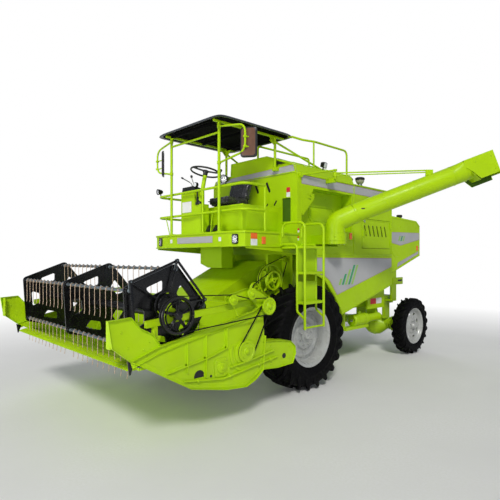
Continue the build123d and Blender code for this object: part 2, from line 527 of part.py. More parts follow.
gallows = post(SWING_X, SWING_Y, SWIVEL_Z - 70, SWIVEL_Z + 75, 12)
gallows += post(SWING_X, SWING_Y, SWIVEL_Z - 70, SWIVEL_Z - 46, 30) + post(SWING_X, SWING_Y,
    SWIVEL_Z + 51, SWIVEL_Z + 75, 30)
gallows += rod((BODY_HALF + 14, 80, EAVES_Z - 18), (SWING_X, SWING_Y, SWIVEL_Z + 63), 13)
gallows += block((BODY_HALF, SWING_X), (SWING_Y - 25, SWING_Y + 25), (EAVES_Z - 70, SWIVEL_Z - 48))
gallows += drum(BODY_HALF, BODY_HALF + 28, 80, EAVES_Z - 18, 36)
parts["auger_swivel_bracket"] = gallows

# ---------------------------------------------------------------- header: feeder house
feeder_outline = [(FEEDER_FRONT, 610), (FEEDER_FRONT, 1190), (FEEDER_REAR, 1740), (FEEDER_REAR, 1170)]
feeder_inner = [(FEEDER_FRONT - 10, 610 + SHEET), (FEEDER_FRONT - 10, 1190 - SHEET),
    (FEEDER_REAR + 10, 1740 - SHEET),
                (FEEDER_REAR + 10, 1170 + SHEET)]
feeder = prism(feeder_outline, -FEEDER_HALF, FEEDER_HALF)
feeder -= prism(feeder_inner, -FEEDER_HALF + SHEET, FEEDER_HALF - SHEET)
hinge_stub = drum(FEEDER_HALF - 1, FEEDER_HALF + 60, LIFT_Y, LIFT_Z, 45)
hinge_ear = prism([(-330, 1560), (LIFT_Y, 1605), (LIFT_Y + 60, LIFT_Z), (LIFT_Y, 1720), (-330, 1660)],
                  FEEDER_HALF - 12, FEEDER_HALF + 1)
feeder += both_sides(hinge_stub + hinge_ear)
for side in (-1, 1):
    for ear in (-42, 30):
        x = side * RAM_X + ear
        feeder += prism([(RAM_EYE[0] - 60, RAM_EYE[1] - 30), (RAM_EYE[0] + 60, RAM_EYE[1] - 30),
                         (RAM_EYE[0] + 130, 860), (RAM_EYE[0] - 130, 740)], x, x + 12)
parts["feeder_house"] = feeder

hanger = block((FEEDER_HALF + 12, FEEDER_HALF + 52), (LIFT_Y - 70, 120), (LIFT_Z - 80, FLOOR_Z))
hanger -= drum(FEEDER_HALF, FEEDER_HALF + 80, LIFT_Y, LIFT_Z, 45.5)
ram_ears = None
for ear in (-62, 46):
    x = RAM_X + ear
    ear_plate = prism([(-60, axle_z - 55), (50, axle_z - 55), (240, axle_z - 155), (240, axle_z - 230),
        (165, axle_z - 235), (60, axle_z - 140), (-60, axle_z - 105)], x, x + 14)
    ram_ears = ear_plate if ram_ears is None else ram_ears + ear_plate
ram_ears += drum(RAM_X - 60, RAM_X + 60, *RAM_BASE, RAM_PIN_R)
parts["feeder_hangers"] = both_sides(hanger)
parts["front_axle"] += both_sides(ram_ears)

# ---------------------------------------------------------------- header: platform
arm_tail = ARM_PIVOT[0] + 40


def arm_bottom(y):
    """Height of the straight lower edge of a reel arm at y."""
    return 1160 + (y - ARM_TIP_Y) * (ARM_PIVOT[1] - 32 - 1160) / (arm_tail - ARM_TIP_Y)


inner_half = HEADER_HALF - END_SHEET
end_outline = [
    (-2780, 905), (-2175, 545), (-1750, 450), (-1483, 425), (-1339, 480), (-1235, 560), (-1200, 930),
        (-1225, 1290),
    (-1380, 1215), (-1553, 1180), (-1817, 1120), (-2061, 1084), (-2285, 1042), (-2524, 993),
]
platform = both_sides(prism(end_outline, inner_half, HEADER_HALF))
tail_outline = [(-1240, 560), (-1240, 870), (-1000, 850), (-780, 815), (-700, 745), (-690, 660),
    (-745, 548), (-1000, 538)]
platform += both_sides(prism(tail_outline, HEADER_HALF - 150, HEADER_HALF))
floor_back = on_circle(TROUGH_Y, TROUGH_Z, TROUGH_R + 4, 236)
floor_sheet = prism([
    (KNIFE_Y, KNIFE_Z), floor_back, (floor_back[0], floor_back[1] - 16), (KNIFE_Y + 4, KNIFE_Z - 16),
], -inner_half - 1, inner_half + 1)
trough = drum(-inner_half - 1, inner_half + 1, TROUGH_Y, TROUGH_Z, TROUGH_R + SHEET)
trough -= drum(-HEADER_HALF, HEADER_HALF, TROUGH_Y, TROUGH_Z, TROUGH_R)
trough -= block((-HEADER_HALF, HEADER_HALF), (TROUGH_Y - 400, TROUGH_Y + 400), (TROUGH_Z, TROUGH_Z + 400))
trough -= prism([(TROUGH_Y, TROUGH_Z), (TROUGH_Y - 500, TROUGH_Z), (TROUGH_Y - 500, TROUGH_Z - 400),
                 on_circle(TROUGH_Y, TROUGH_Z, 500, 236)], -HEADER_HALF, HEADER_HALF)
back = block((-inner_half - 1, inner_half + 1), (BACK_Y - SHEET, BACK_Y), (TROUGH_Z - 20, BACK_TOP))
back -= block((-FEEDER_HALF + SHEET, FEEDER_HALF - SHEET), (BACK_Y - 50, BACK_Y + 50), (TROUGH_Z + 5, 1178))
top_beam = block((-inner_half - 1, inner_half + 1), (BACK_Y - 1, BACK_Y + 60), (BACK_TOP - 44, BACK_TOP))
saddle = block((-FEEDER_HALF, FEEDER_HALF), (BACK_Y - 1, FEEDER_FRONT), (1178, BACK_TOP - 30))
platform += floor_sheet + trough + back + top_beam + saddle
rest_posts = block((ARM_X - 22, ARM_X + 22), (-2530, -2490), (1030, arm_bottom(-2530) - SEAT_GAP)) + block(
    (ARM_X - 22, inner_half + 1), (-2530, -2490), (960, 1031))
arm_ear = prism([(-1310, 1240), (-1200, 1240), (-1200, 1340), (-1240, 1360), (-1290, 1340)], ARM_X + 26,
    ARM_X + 42)
arm_ear += block((ARM_X + 26, inner_half + 1), (-1300, -1225), (1205, 1262))
arm_ear += drum(ARM_X - 30, ARM_X + 30, *ARM_PIVOT, ARM_PIN_R)
platform += both_sides(rest_posts + arm_ear)
parts["header_platform"] = platform

divider_outline = [(-2985, 1270), (-2780, 1282), (-2696, 1182), (-2573, 1115), (-2500, 1000),
    (-2785, 905), (-2950, 1040)]
divider = prism(divider_outline, HEADER_HALF, HEADER_HALF + 10)
divider += block((HEADER_HALF - 70, HEADER_HALF + 1), (-2955, -2940), (1030, 1262))
parts["crop_dividers"] = both_sides(divider)

knife = block((-inner_half + 2, inner_half - 2), (KNIFE_Y - 70, KNIFE_Y), (KNIFE_Z - 22, KNIFE_Z + 2))
parts["knife_bar"] = knife

flight = drum(-HEADER_HALF + 125, HEADER_HALF - 125, TROUGH_Y, TROUGH_Z, DRUM_R)
for flight_x in [side * (420 + 200 * turn) for side in (-1, 1) for turn in range(5)]:
    flight += drum(flight_x - 5, flight_x + 5, TROUGH_Y, TROUGH_Z, FLIGHT_R)
flight += drum(-inner_half + SEAT_GAP, inner_half - SEAT_GAP, TROUGH_Y, TROUGH_Z, 32)
parts["header_auger"] = flight

DRIVE_PULLEYS = (  # y, z, radius, inner x, outer x
    (-1180, 1255, 92, HEADER_HALF + 10, HEADER_HALF + 78),
    (-1500, 1375, 48, HEADER_HALF + 14, HEADER_HALF + 70),
    (-1690, 1350, 40, HEADER_HALF + 14, HEADER_HALF + 70),
    (-1480, 800, 70, HEADER_HALF + 4, HEADER_HALF + 60),
)
guard = prism([(-1300, 1150), (-1140, 1150), (-1100, 1330), (-1330, 1420), (-1760, 1400), (-1760, 1340),
    (-1420, 1330)],
              HEADER_HALF, HEADER_HALF + 8)
for y, z, radius, x_low, x_high in DRIVE_PULLEYS:
    guard += drum(HEADER_HALF, x_high, y, z, 18) + drum(x_low, x_high, y, z, radius)
parts["header_drive"] = guard

# ---------------------------------------------------------------- reel arms
arms = prism([
    (arm_tail, arm_bottom(arm_tail)), (arm_tail, ARM_PIVOT[1] + 32), (ARM_TIP_Y, 1222),
        (ARM_TIP_Y, arm_bottom(ARM_TIP_Y)),
], ARM_X - ARM_W / 2, ARM_X + ARM_W / 2)
arms += drum(ARM_X - ARM_W / 2, ARM_X + ARM_W / 2, REEL_Y, REEL_Z, 62)
arms -= drum(ARM_X - 60, ARM_X + 60, *ARM_PIVOT, ARM_PIN_R + PIN_GAP)
arms -= drum(ARM_X - 60, ARM_X + 60, REEL_Y, REEL_Z, REEL_SHAFT_R + PIN_GAP)
star_z = REEL_Z + STAR_RISE
star_bearing = drum(STAR_X + 10, ARM_X - ARM_W / 2 + 1, REEL_Y, star_z, RING_R - 8)
star_bearing += block((STAR_X + 10, ARM_X - ARM_W / 2 + 1), (REEL_Y - 60, REEL_Y + 60),
    (REEL_Z - 40, star_z))
star_bearing -= drum(STAR_X, ARM_X, REEL_Y, REEL_Z, REEL_SHAFT_R + 3)
for roller in (90, 210, 330):
    y, z = on_circle(REEL_Y, star_z, RING_R - ROLLER_R - PIN_GAP, roller)
    star_bearing += drum(STAR_X - 6, STAR_X + 11, y, z, ROLLER_R)
parts["reel_arms"] = both_sides(arms) + star_bearing

# ---------------------------------------------------------------- reel
BATS = [(number + 1, FIRST_BAT_DEG - number * 360 / BAT_COUNT) for number in range(BAT_COUNT)]
bat_places = {number: on_circle(REEL_Y, REEL_Z, REEL_R, degrees) for number, degrees in BATS}
spider_outline = [on_circle(REEL_Y, REEL_Z, REEL_R + 42, degrees) for _, degrees in BATS]
reel = drum(-ARM_X - 20, PULLEY_X + 40, REEL_Y, REEL_Z, REEL_SHAFT_R) + drum(-REEL_HALF, REEL_HALF,
    REEL_Y, REEL_Z, 45)
SPIDER_X = (-REEL_HALF + 10, 0, REEL_HALF - 10)
for spider_x in SPIDER_X:
    plate = prism(spider_outline, spider_x - 5, spider_x + 5)
    for number, degrees in BATS:
        # a trapezoid window beside each side of the pentagon, and a round one by the hub
        middle = degrees - 180 / BAT_COUNT
        window = [on_circle(REEL_Y, REEL_Z, radius, middle + turn) for radius, turn in (
            (REEL_R - 100, -18), (REEL_R - 100, 18), (REEL_R / 2, 22), (REEL_R / 2, -22))]
        plate -= prism(window, spider_x - 20, spider_x + 20)
        plate -= drum(spider_x - 20, spider_x + 20, *bat_places[number], BAT_R + PIN_GAP)
    reel += plate
pulley = drum(PULLEY_X - 18, PULLEY_X + 18, REEL_Y, REEL_Z, PULLEY_R) - drum(
    PULLEY_X - 30, PULLEY_X + 30, REEL_Y, REEL_Z, PULLEY_R - 24)
for spoke in range(5):
    y, z = on_circle(REEL_Y, REEL_Z, PULLEY_R - 12, 90 + 72 * spoke)
    pulley += rod((PULLEY_X, REEL_Y, REEL_Z), (PULLEY_X, y, z), 9)
parts["reel"] = reel + pulley

CRANK_X = REEL_HALF + 6
for number, (y, z) in bat_places.items():
    bat = drum(-REEL_HALF - 6, CRANK_X + 10, y, z, BAT_R)
    bat += block((CRANK_X, CRANK_X + 10), (y - 14, y + 14), (z - 14, z + STAR_RISE + 14))
    bat += drum(CRANK_X, STAR_X + 6, y, z + STAR_RISE, CRANK_PIN_R)
    parts[f"reel_bat_{number}"] = bat

star = drum(STAR_X - 5, STAR_X + 5, REEL_Y, star_z, RING_R + 18)
bar_length = REEL_R - RING_R - 10
for number, degrees in BATS:
    y, z = on_circle(REEL_Y, star_z, REEL_R - bar_length / 2, degrees)
    star += Pos(STAR_X, y, z) * Rot(X=degrees) * Box(10, bar_length, 12)
    star += drum(STAR_X - 5, STAR_X + 5, *on_circle(REEL_Y, star_z, REEL_R, degrees), 18)
for _, degrees in BATS:
    star -= drum(STAR_X - 40, STAR_X + 40, *on_circle(REEL_Y, star_z, REEL_R, degrees),
        CRANK_PIN_R + PIN_GAP)
star -= drum(STAR_X - 40, STAR_X + 40, REEL_Y, star_z, RING_R)
parts["reel_star"] = star

# ---------------------------------------------------------------- header lift cylinders
base, eye = Vector(0, *RAM_BASE), Vector(0, *RAM_EYE)
along = (eye - base).normalized()
barrels, piston_rods = None, None
for side in (-1, 1):
    shift = Vector(side * RAM_X, 0, 0)
    barrel = rod(shift + base + along * 30, shift + base + along * BARREL_LENGTH, BARREL_R)
    barrel -= rod(shift + base + along * 45, shift + base + along * (BARREL_LENGTH - 40), ROD_R + 6)
    barrel -= rod(shift + base + along * 45, shift + base + along * (BARREL_LENGTH + 5), ROD_R + PIN_GAP)
    barrel += drum(side * RAM_X - 40, side * RAM_X + 40, *RAM_BASE, 36)
    barrel -= drum(side * RAM_X - 50, side * RAM_X + 50, *RAM_BASE, RAM_PIN_R + PIN_GAP)
    piston_rod = rod(shift + base + along * ROD_START, shift + eye, ROD_R)
    piston_rod += drum(side * RAM_X - 16, side * RAM_X + 16, *RAM_EYE, 30)
    barrels = barrel if barrels is None else barrels + barrel
    piston_rods = piston_rod if piston_rods is None else piston_rods + piston_rod
parts["lift_cylinder_barrels"] = barrels
parts["lift_cylinder_rods"] = piston_rods

# ---------------------------------------------------------------- place and write
boxes = [piece.bounding_box() for piece in parts.values()]
low = [min(corner) for corner in zip(*(tuple(box.min) for box in boxes))]
high = [max(corner) for corner in zip(*(tuple(box.max) for box in boxes))]
ORIGIN = Vector((low[0] + high[0]) / 2, (low[1] + high[1]) / 2, low[2])
os.makedirs("parts", exist_ok=True)
for name, piece in parts.items():
    export_step(Pos(*(ORIGIN * -1)) * piece, f"parts/{name}.step")
print("origin", ORIGIN, "size", [b - a for a, b in zip(low, high)])
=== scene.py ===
import json
import math
import bmesh
import bpy
from mathutils import Matrix, Vector
from mathutils.geometry import tessellate_polygon


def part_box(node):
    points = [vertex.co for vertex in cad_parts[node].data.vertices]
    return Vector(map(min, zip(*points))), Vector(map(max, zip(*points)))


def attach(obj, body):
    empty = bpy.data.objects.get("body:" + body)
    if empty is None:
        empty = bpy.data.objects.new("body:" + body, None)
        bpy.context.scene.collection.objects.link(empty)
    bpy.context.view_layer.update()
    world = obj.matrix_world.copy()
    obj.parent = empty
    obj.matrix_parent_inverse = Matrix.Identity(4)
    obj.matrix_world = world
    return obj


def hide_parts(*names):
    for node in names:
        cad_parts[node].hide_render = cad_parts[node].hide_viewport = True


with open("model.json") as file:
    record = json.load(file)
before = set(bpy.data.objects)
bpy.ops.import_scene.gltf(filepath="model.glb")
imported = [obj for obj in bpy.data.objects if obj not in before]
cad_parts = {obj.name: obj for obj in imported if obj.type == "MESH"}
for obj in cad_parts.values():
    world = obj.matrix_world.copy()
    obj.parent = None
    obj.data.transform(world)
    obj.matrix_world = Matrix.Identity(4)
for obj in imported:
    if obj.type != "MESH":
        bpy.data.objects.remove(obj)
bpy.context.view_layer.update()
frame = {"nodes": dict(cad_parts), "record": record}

# Positions are written in metres from the ground under the middle of the front axle, with X to
# the machine's left, Y to its rear and Z up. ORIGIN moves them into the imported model's frame.
left_low, left_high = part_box("front_left_tyre")
right_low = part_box("front_right_tyre")[0]
ORIGIN = Vector(((left_high.x + right_low.x) / 2, (left_low.y + left_high.y) / 2, 0))

SIDES = (("left", 1), ("right", -1))
X_AXIS, Y_AXIS, Z_AXIS = (1, 0, 0), (0, 1, 0), (0, 0, 1)
FRONT_AXLE_Z, REAR_AXLE_Y, REAR_AXLE_Z = 0.715, 3.1, 0.515
SIDE_WALL, HOOD_WALL = 0.95, 0.75      # half widths of the body and of the straw hood
DECK_SIDE, DECK_FRONT, DECK_TOP = 1.02, -1.06, 2.12
TANK_FRONT = 0.02
POST_X, POST_Y = 0.555, -1.05            # the canopy's front posts
TURRET = (1.11, 0.68)


# ------------------------ mesh building
class Shape:
    """Collects closed solids into one mesh."""

    def __init__(self):
        self.verts, self.faces = [], []

    def add(self, verts, faces):
        start = len(self.verts)
        self.verts += [Vector(v) for v in verts]
        self.faces += [tuple(start + i for i in face) for face in faces]

    def loft(self, rings, closed=False):
        """Quads between rings of points, capped, or joined up end to end if closed."""
        count = len(rings[0])
        verts = [point for ring in rings for point in ring]
        faces = []
        steps = len(rings) if closed else len(rings) - 1
        for i in range(steps):
            a, b = i * count, (i + 1) % len(rings) * count
            for j in range(count):
                k = (j + 1) % count
                faces.append((a + j, a + k, b + k, b + j))
        if not closed:
            faces.append(tuple(reversed(range(count))))
            faces.append(tuple(range((len(rings) - 1) * count, len(rings) * count)))
        self.add(verts, faces)

    def block(self, x, y, z, soft):
        """A box with softened edges from three (low, high) pairs."""
        spans = (x, y, z)
        self.chamfered(Vector([(a + b) / 2 for a, b in spans]), [b - a for a, b in spans], soft)

    def chamfered(self, middle, size, soft, turn=Matrix.Identity(4)):
        """A box with softened edges, turned about its middle by a matrix."""
        soft = min(soft, min(size) * 0.3)
        bm = bmesh.new()
        bmesh.ops.create_cube(bm, size=1)
        for v in bm.verts:
            v.co = Vector([c * s for c, s in zip(v.co, size)])
        bmesh.ops.bevel(bm, geom=bm.edges[:], offset=soft, segments=2, profile=0.5, affect="EDGES")
        self.take(bm, Matrix.Translation(middle) @ turn)

    def take(self, bm, matrix=Matrix.Identity(4)):
        """Moves a finished bmesh into this shape."""
        bm.verts.index_update()
        self.add([matrix @ v.co for v in bm.verts],
                 [tuple(v.index for v in face.verts) for face in bm.faces])
        bm.free()

    def prism(self, axis, points, low, high, soft):
        """An outline pulled along an axis. The points are (y, z), (x, z) or (x, y) pairs."""
        bm = bmesh.new()
        place = place_on(axis)
        face = bm.faces.new([bm.verts.new(place(p, low)) for p in points])
        made = bmesh.ops.extrude_face_region(bm, geom=[face])
        moved = [v for v in made["geom"] if isinstance(v, bmesh.types.BMVert)]
        bmesh.ops.translate(bm, vec=place((0, 0), high - low), verts=moved)
        bmesh.ops.recalc_face_normals(bm, faces=bm.faces[:])
        if soft:
            sharp = [e for e in bm.edges if e.calc_face_angle(0) > 0.5]
            soft = min(soft, abs(high - low) * 0.3)
            bmesh.ops.bevel(bm, geom=sharp, offset=soft, segments=2, profile=0.5, affect="EDGES")
        self.take(bm)

    def lathe(self, profile, centre, axis, steps, closed=False):
        """(along, radius) points turned about a line through centre."""
        axis = Vector(axis).normalized()
        side = axis.orthogonal().normalized()
        other = axis.cross(side)
        rings = []
        for angle in turns(steps):
            out = side * math.cos(angle) + other * math.sin(angle)
            rings.append([Vector(centre) + axis * a + out * r for a, r in profile])
        count = len(profile)
        verts = [p for ring in rings for p in ring]
        faces = []
        for i in range(steps):
            a, b = i * count, (i + 1) % steps * count
            for j in range(count if closed else count - 1):
                k = (j + 1) % count
                faces.append((a + j, b + j, b + k, a + k))
        self.add(verts, faces)

    def sleeve(self, centre, axis, low, high, inner, outer, steps):
        """A square-cut ring from low to high along an axis."""
        profile = [(low, inner), (low, outer), (high, outer), (high, inner)]
        self.lathe(profile, centre, axis, steps, True)

    def drum(self, start, end, radius, steps=28, soft=0.003):
        """A round bar or disc between two points, with softened rims."""
        start, end = Vector(start), Vector(end)
        length = (end - start).length
        soft = min(soft, length * 0.3, radius * 0.3)
        profile = [(0, 0), (0, radius - soft), (soft * 0.3, radius - soft * 0.3), (soft, radius)]
        profile += [(length - a, r) for a, r in reversed(profile)]
        self.lathe(profile, start, end - start, steps)

    def tube(self, points, radius, bend=0.0, sides=12, loop=False):
        """A bent pipe through the points."""
        path = smooth_corners(points, bend, loop) if bend else [Vector(p) for p in points]
        rings = []
        count = len(path)
        first = (path[1] - path[0]).normalized()
        normal = first.orthogonal().normalized()
        for i, point in enumerate(path):
            if loop:
                tangent = (path[(i + 1) % count] - path[i - 1]).normalized()
            else:
                tangent = (path[min(i + 1, count - 1)] - path[max(i - 1, 0)]).normalized()
            normal = (normal - tangent * normal.dot(tangent)).normalized()
            other = tangent.cross(normal)
            turn = 1.0
            if 0 < i < count - 1:
                half = (path[i + 1] - point).angle(point - path[i - 1]) / 2
                turn = 1 / max(math.cos(half), 0.5)
            rings.append([point + (normal * math.cos(t) + other * math.sin(t) * turn) * radius
                          for t in turns(sides)])
        self.loft(rings, closed=loop)

    def bolt(self, place, direction, size):
        """A hex head on a washer."""
        place, direction = Vector(place), Vector(direction).normalized()
        self.drum(place, place + direction * size * 0.18, size * 1.05, 14, 0.0005)
        side = direction.orthogonal().normalized()
        other = direction.cross(side)
        hexagon = [side * math.cos(t) + other * math.sin(t) for t in turns(6)]
        self.loft([[place + direction * (size * h) + p * (size * r) for p in hexagon]
                   for h, r in ((0.15, 0.8), (0.7, 0.8), (0.8, 0.68))])

    def mirrored(self):
        """The same solids on the machine's other side as well."""
        count = len(self.verts)
        self.verts += [Vector((-v.x, v.y, v.z)) for v in self.verts]
        self.faces += [tuple(reversed([i + count for i in face])) for face in self.faces]
        return self

    def done(self, name, look, body="chassis", replaces=(), smooth=34, slot=None):
        """Makes the piece; the slot argument is not used."""
        mesh = bpy.data.meshes.new(name)
        mesh.from_pydata([v + ORIGIN for v in self.verts], [], self.faces)
        mesh.validate()
        bm = bmesh.new()
        bm.from_mesh(mesh)
        bmesh.ops.recalc_face_normals(bm, faces=bm.faces[:])
        bm.to_mesh(mesh)
        bm.free()
        mesh.shade_smooth()
        mesh.set_sharp_from_angle(angle=math.radians(smooth))
        mesh.materials.append(look)
        piece = linked(name, mesh)
        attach(piece, body)
        if replaces:
            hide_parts(*replaces)


def linked(name, data):
    """A new object in the scene."""
    made = bpy.data.objects.new(name, data)
    bpy.context.scene.collection.objects.link(made)
    return made


def turns(count, start=0.0):
    """Angles evenly round a circle."""
    return [start + 2 * math.pi * k / count for k in range(count)]


def place_on(axis):
    """Puts an outline's point and a height along the axis into three coordinates."""
    return {"x": lambda p, h: (h, *p), "y": lambda p, h: (p[0], h, p[1]),
            "z": lambda p, h: (*p, h)}[axis]


def outward(at, out, depth, under=0.0):
    """Low and high of a layer on a wall at this place; out is the side that the wall faces."""
    return sorted((at - out * under, at + out * depth))


def smooth_corners(points, bend, loop=False):
    """A line with its corners rounded; bend is the corners' radius."""
    points = [Vector(p) for p in points]
    path = [] if loop else [points[0]]
    span = range(len(points)) if loop else range(1, len(points) - 1)
    for i in span:
        before, here, after = points[i - 1], points[i], points[(i + 1) % len(points)]
        a, b = (before - here), (after - here)
        turn = math.pi - a.angle(b)
        if turn < 0.05:
            path.append(here)
            continue
        reach = min(bend * math.tan(turn / 2), a.length * 0.49, b.length * 0.49)
        start, end = here + a.normalized() * reach, here + b.normalized() * reach
        steps = max(3, int(math.degrees(turn) / 14))
        for k in range(steps + 1):
            t = k / steps
            path.append(start * (1 - t) ** 2 + here * 2 * t * (1 - t) + end * t * t)
    return path if loop else path + [points[-1]]


def on_circle(y, z, radius, degrees):
    angle = math.radians(degrees)
    return (y + radius * math.cos(angle), z + radius * math.sin(angle))


# ------------------------ materials
class Look:
    def __init__(self, name, **shader):
        self.mat = bpy.data.materials.new(name)
        self.mat.use_nodes = True
        self.tree = self.mat.node_tree
        self.shader = self.tree.nodes["Principled BSDF"]
        for key, value in shader.items():
            socket = key.replace("_", " ").title().replace("Ior", "IOR")
            self.shader.inputs[socket].default_value = value
        self.place = self.node("ShaderNodeTexCoord").outputs["Object"]

    def node(self, kind, **inputs):
        made = self.tree.nodes.new(kind)
        for key, value in inputs.items():
            self.feed(made.inputs[key.replace("_", " ")], value)
        return made

    def feed(self, socket, value):
        """Links a node's output into a socket, or sets its value."""
        if isinstance(value, bpy.types.NodeSocket):
            self.tree.links.new(value, socket)
        else:
            colour = isinstance(value, tuple) and len(value) == 3
            socket.default_value = (*value, 1) if colour else value

    def noise(self, scale, detail=3.0, rough=0.55, low=0.35, high=0.65):
        made = self.node("ShaderNodeTexNoise", Vector=self.place, Scale=scale, Detail=detail,
                         Roughness=rough)
        return self.span(made.outputs["Fac"], low, high)

    def span(self, value, low, high, to_low=0.0, to_high=1.0):
        made = self.node("ShaderNodeMapRange", Value=value, From_Min=low, From_Max=high,
                         To_Min=to_low, To_Max=to_high)
        return made.outputs["Result"]

    def product(self, a, b):
        made = self.node("ShaderNodeMath")
        made.operation = "MULTIPLY"
        self.feed(made.inputs[0], a)
        self.feed(made.inputs[1], b)
        return made.outputs[0]

    def mix(self, factor, a, b):
        """A blend of two colours; a Mix node's colour sockets are its inputs 6 and 7."""
        made = self.node("ShaderNodeMix")
        made.data_type = "RGBA"
        for number, value in ((0, factor), (6, a), (7, b)):
            self.feed(made.inputs[number], value)
        return made.outputs[2]

    def wear(self, low, high):
        """1 on outer edges, from the surface's own curvature."""
        edge = self.node("ShaderNodeNewGeometry").outputs["Pointiness"]
        return self.span(edge, low, high)

    def height(self):
        return self.node("ShaderNodeSeparateXYZ", Vector=self.place).outputs["Z"]

    def finish(self, colour, rough, bump=None, strength=0.1, distance=0.002, round_edge=0.0):
        self.feed(self.shader.inputs["Base Color"], colour)
        self.feed(self.shader.inputs["Roughness"], rough)
        normal = None
        if round_edge:
            made = self.node("ShaderNodeBevel", Radius=round_edge)
            made.samples = 4
            normal = made.outputs["Normal"]
        if bump is not None:
            made = self.node("ShaderNodeBump", Height=bump, Strength=strength, Distance=distance)
            if normal:
                self.tree.links.new(normal, made.inputs["Normal"])
            normal = made.outputs["Normal"]
        if normal:
            self.tree.links.new(normal, self.shader.inputs["Normal"])
        return self.mat


def shade(colour, factor):
    """A colour made lighter or darker."""
    return tuple(min(1.0, c * factor) for c in colour)


def paint(name, colour, dust=0.2, gloss=0.36, coat=0.06, shine=0.2):
    """Sprayed enamel: faint mottling, orange peel, dust low down and dulled patches."""
    look = Look(name, coat_weight=coat, coat_roughness=0.25, specular_ior_level=shine)
    mottled = look.mix(look.noise(1.7, 4), shade(colour, 0.94), shade(colour, 1.05))
    streaked = look.mix(look.product(look.noise(7, 5, 0.6, 0.5, 0.8), 0.16), mottled,
                        shade(colour, 0.82))
    low_dust = look.span(look.height(), 0.1, 1.5, dust, 0.0)
    grime = look.product(low_dust, look.noise(5, 6, 0.65, 0.4, 0.72))
    dusty = look.mix(grime, streaked, (0.23, 0.2, 0.12))
    rough = look.span(look.noise(14, 4), 0, 1, gloss - 0.05, gloss + 0.14)
    peel = look.node("ShaderNodeTexNoise", Vector=look.place, Scale=260.0,
                     Detail=2.0).outputs["Fac"]
    return look.finish(dusty, rough, peel, 0.05, 0.0015, 0.004)


green = paint("lime_enamel", (0.385, 0.6, 0.0012))
# a dark copy of the lime enamel: painted shade for the recess on the tank's front and the spout's
# inside
green_painted_shade = paint("lime_enamel_painted_shade", (0.05, 0.12, 0.003), 0.1, 0.5, 0.02)
silver = paint("silver_enamel", (0.37, 0.38, 0.37), 0.3, 0.26, 0.3, 0.6)
black = paint("black_enamel", (0.003, 0.003, 0.0035), 0.03, 0.2, 0.1, 0.5)


def film(name, colour):
    """Printed sticker film."""
    look = Look(name, coat_weight=0.15, coat_roughness=0.2)
    tone = look.mix(look.noise(3, 3), shade(colour, 0.95), shade(colour, 1.04))
    rough = look.span(look.noise(30, 3), 0, 1, 0.3, 0.42)
    return look.finish(tone, rough, look.noise(120, 2), 0.03, 0.001)


sticker = film("silver_film", (0.41, 0.41, 0.42))
outline = film("mauve_film", (0.33, 0.16, 0.3))
white_film = film("white_film", (0.78, 0.77, 0.76))
red_film = film("red_film", (0.62, 0.02, 0.03))
leaf_film = film("leaf_film", (0.28, 0.5, 0.1))
deep_leaf_film = film("deep_leaf_film", (0.03, 0.3, 0.12))


def rubber(name, colour, dust):
    """Scuffed rubber with worn edges and patches of dust."""
    look = Look(name, specular_ior_level=0.1)
    scuff = look.mix(look.noise(22, 6, 0.7), shade(colour, 0.7), shade(colour, 1.5))
    worn = look.mix(look.product(look.wear(0.53, 0.64), 0.25), scuff, (0.02, 0.02, 0.02))
    dusty = look.mix(look.product(look.noise(6, 5, 0.7, 0.42, 0.75), dust), worn,
                     (0.11, 0.095, 0.075))
    grain = look.node("ShaderNodeTexNoise", Vector=look.place, Scale=340.0,
                      Detail=4.0).outputs["Fac"]
    return look.finish(dusty, look.span(look.noise(30, 3), 0, 1, 0.55, 0.8), grain, 0.25, 0.002)


tyre_rubber = rubber("tyre_rubber", (0.0014, 0.0014, 0.0018), 0.02)
belt_rubber = rubber("belt_rubber", (0.006, 0.006, 0.006), 0.04)


def steel(name, colour, rough, metal, rust):
    """Plated or painted steel with stains."""
    look = Look(name, metallic=metal)
    tone = look.mix(look.noise(30, 5, 0.7), shade(colour, 0.8), shade(colour, 1.1))
    stained = look.mix(look.product(look.noise(11, 6, 0.7, 0.55, 0.75), rust), tone,
                       (0.16, 0.07, 0.03))
    return look.finish(stained, look.span(look.noise(60, 3), 0, 1, rough - 0.08, rough + 0.14),
                       look.noise(200, 3), 0.08, 0.001, 0.002)


bat_steel = steel("bat_steel", (0.2, 0.24, 0.26), 0.34, 0.75, 0.06)
bare_steel = steel("bare_steel", (0.52, 0.52, 0.51), 0.3, 1.0, 0.08)
tine_steel = steel("tine_steel", (0.46, 0.33, 0.23), 0.4, 0.2, 0.15)
iron = steel("engine_iron", (0.12, 0.12, 0.12), 0.55, 0.5, 0.25)


def plastic(name, colour, rough, coat=0.0, shine=0.5):
    """Moulded plastic with a fine grain."""
    look = Look(name, coat_weight=coat, specular_ior_level=shine)
    tone = look.mix(look.noise(8, 4), shade(colour, 0.85), shade(colour, 1.12))
    return look.finish(tone, look.span(look.noise(40, 3), 0, 1, rough - 0.05, rough + 0.1),
                       look.noise(420, 3), 0.08, 0.001, 0.002)


black_plastic = plastic("black_plastic", (0.006, 0.006, 0.007), 0.36)
brown_plastic = plastic("brown_plastic", (0.115, 0.05, 0.026), 0.34)
# dark grey plastic for the roof's top, tinted blue as a painted sky sheen
slate_painted_sheen = plastic("slate_painted_sheen", (0.02, 0.026, 0.034), 0.24, 0.3)
pale_plastic = plastic("pale_plastic", (0.42, 0.4, 0.34), 0.4)
# near-black matte copy of the roof's plastic: painted shade for its underside
painted_shade_lining = plastic("painted_shade_lining", (0.0022, 0.0024, 0.0022), 0.8, shine=0.06)
amber = plastic("amber_reflector", (0.95, 0.16, 0.01), 0.2, 0.6)
white_lens = plastic("white_reflector", (0.8, 0.81, 0.82), 0.2, 0.6)
red_lens = plastic("red_lens", (0.6, 0.01, 0.01), 0.18, 0.6)


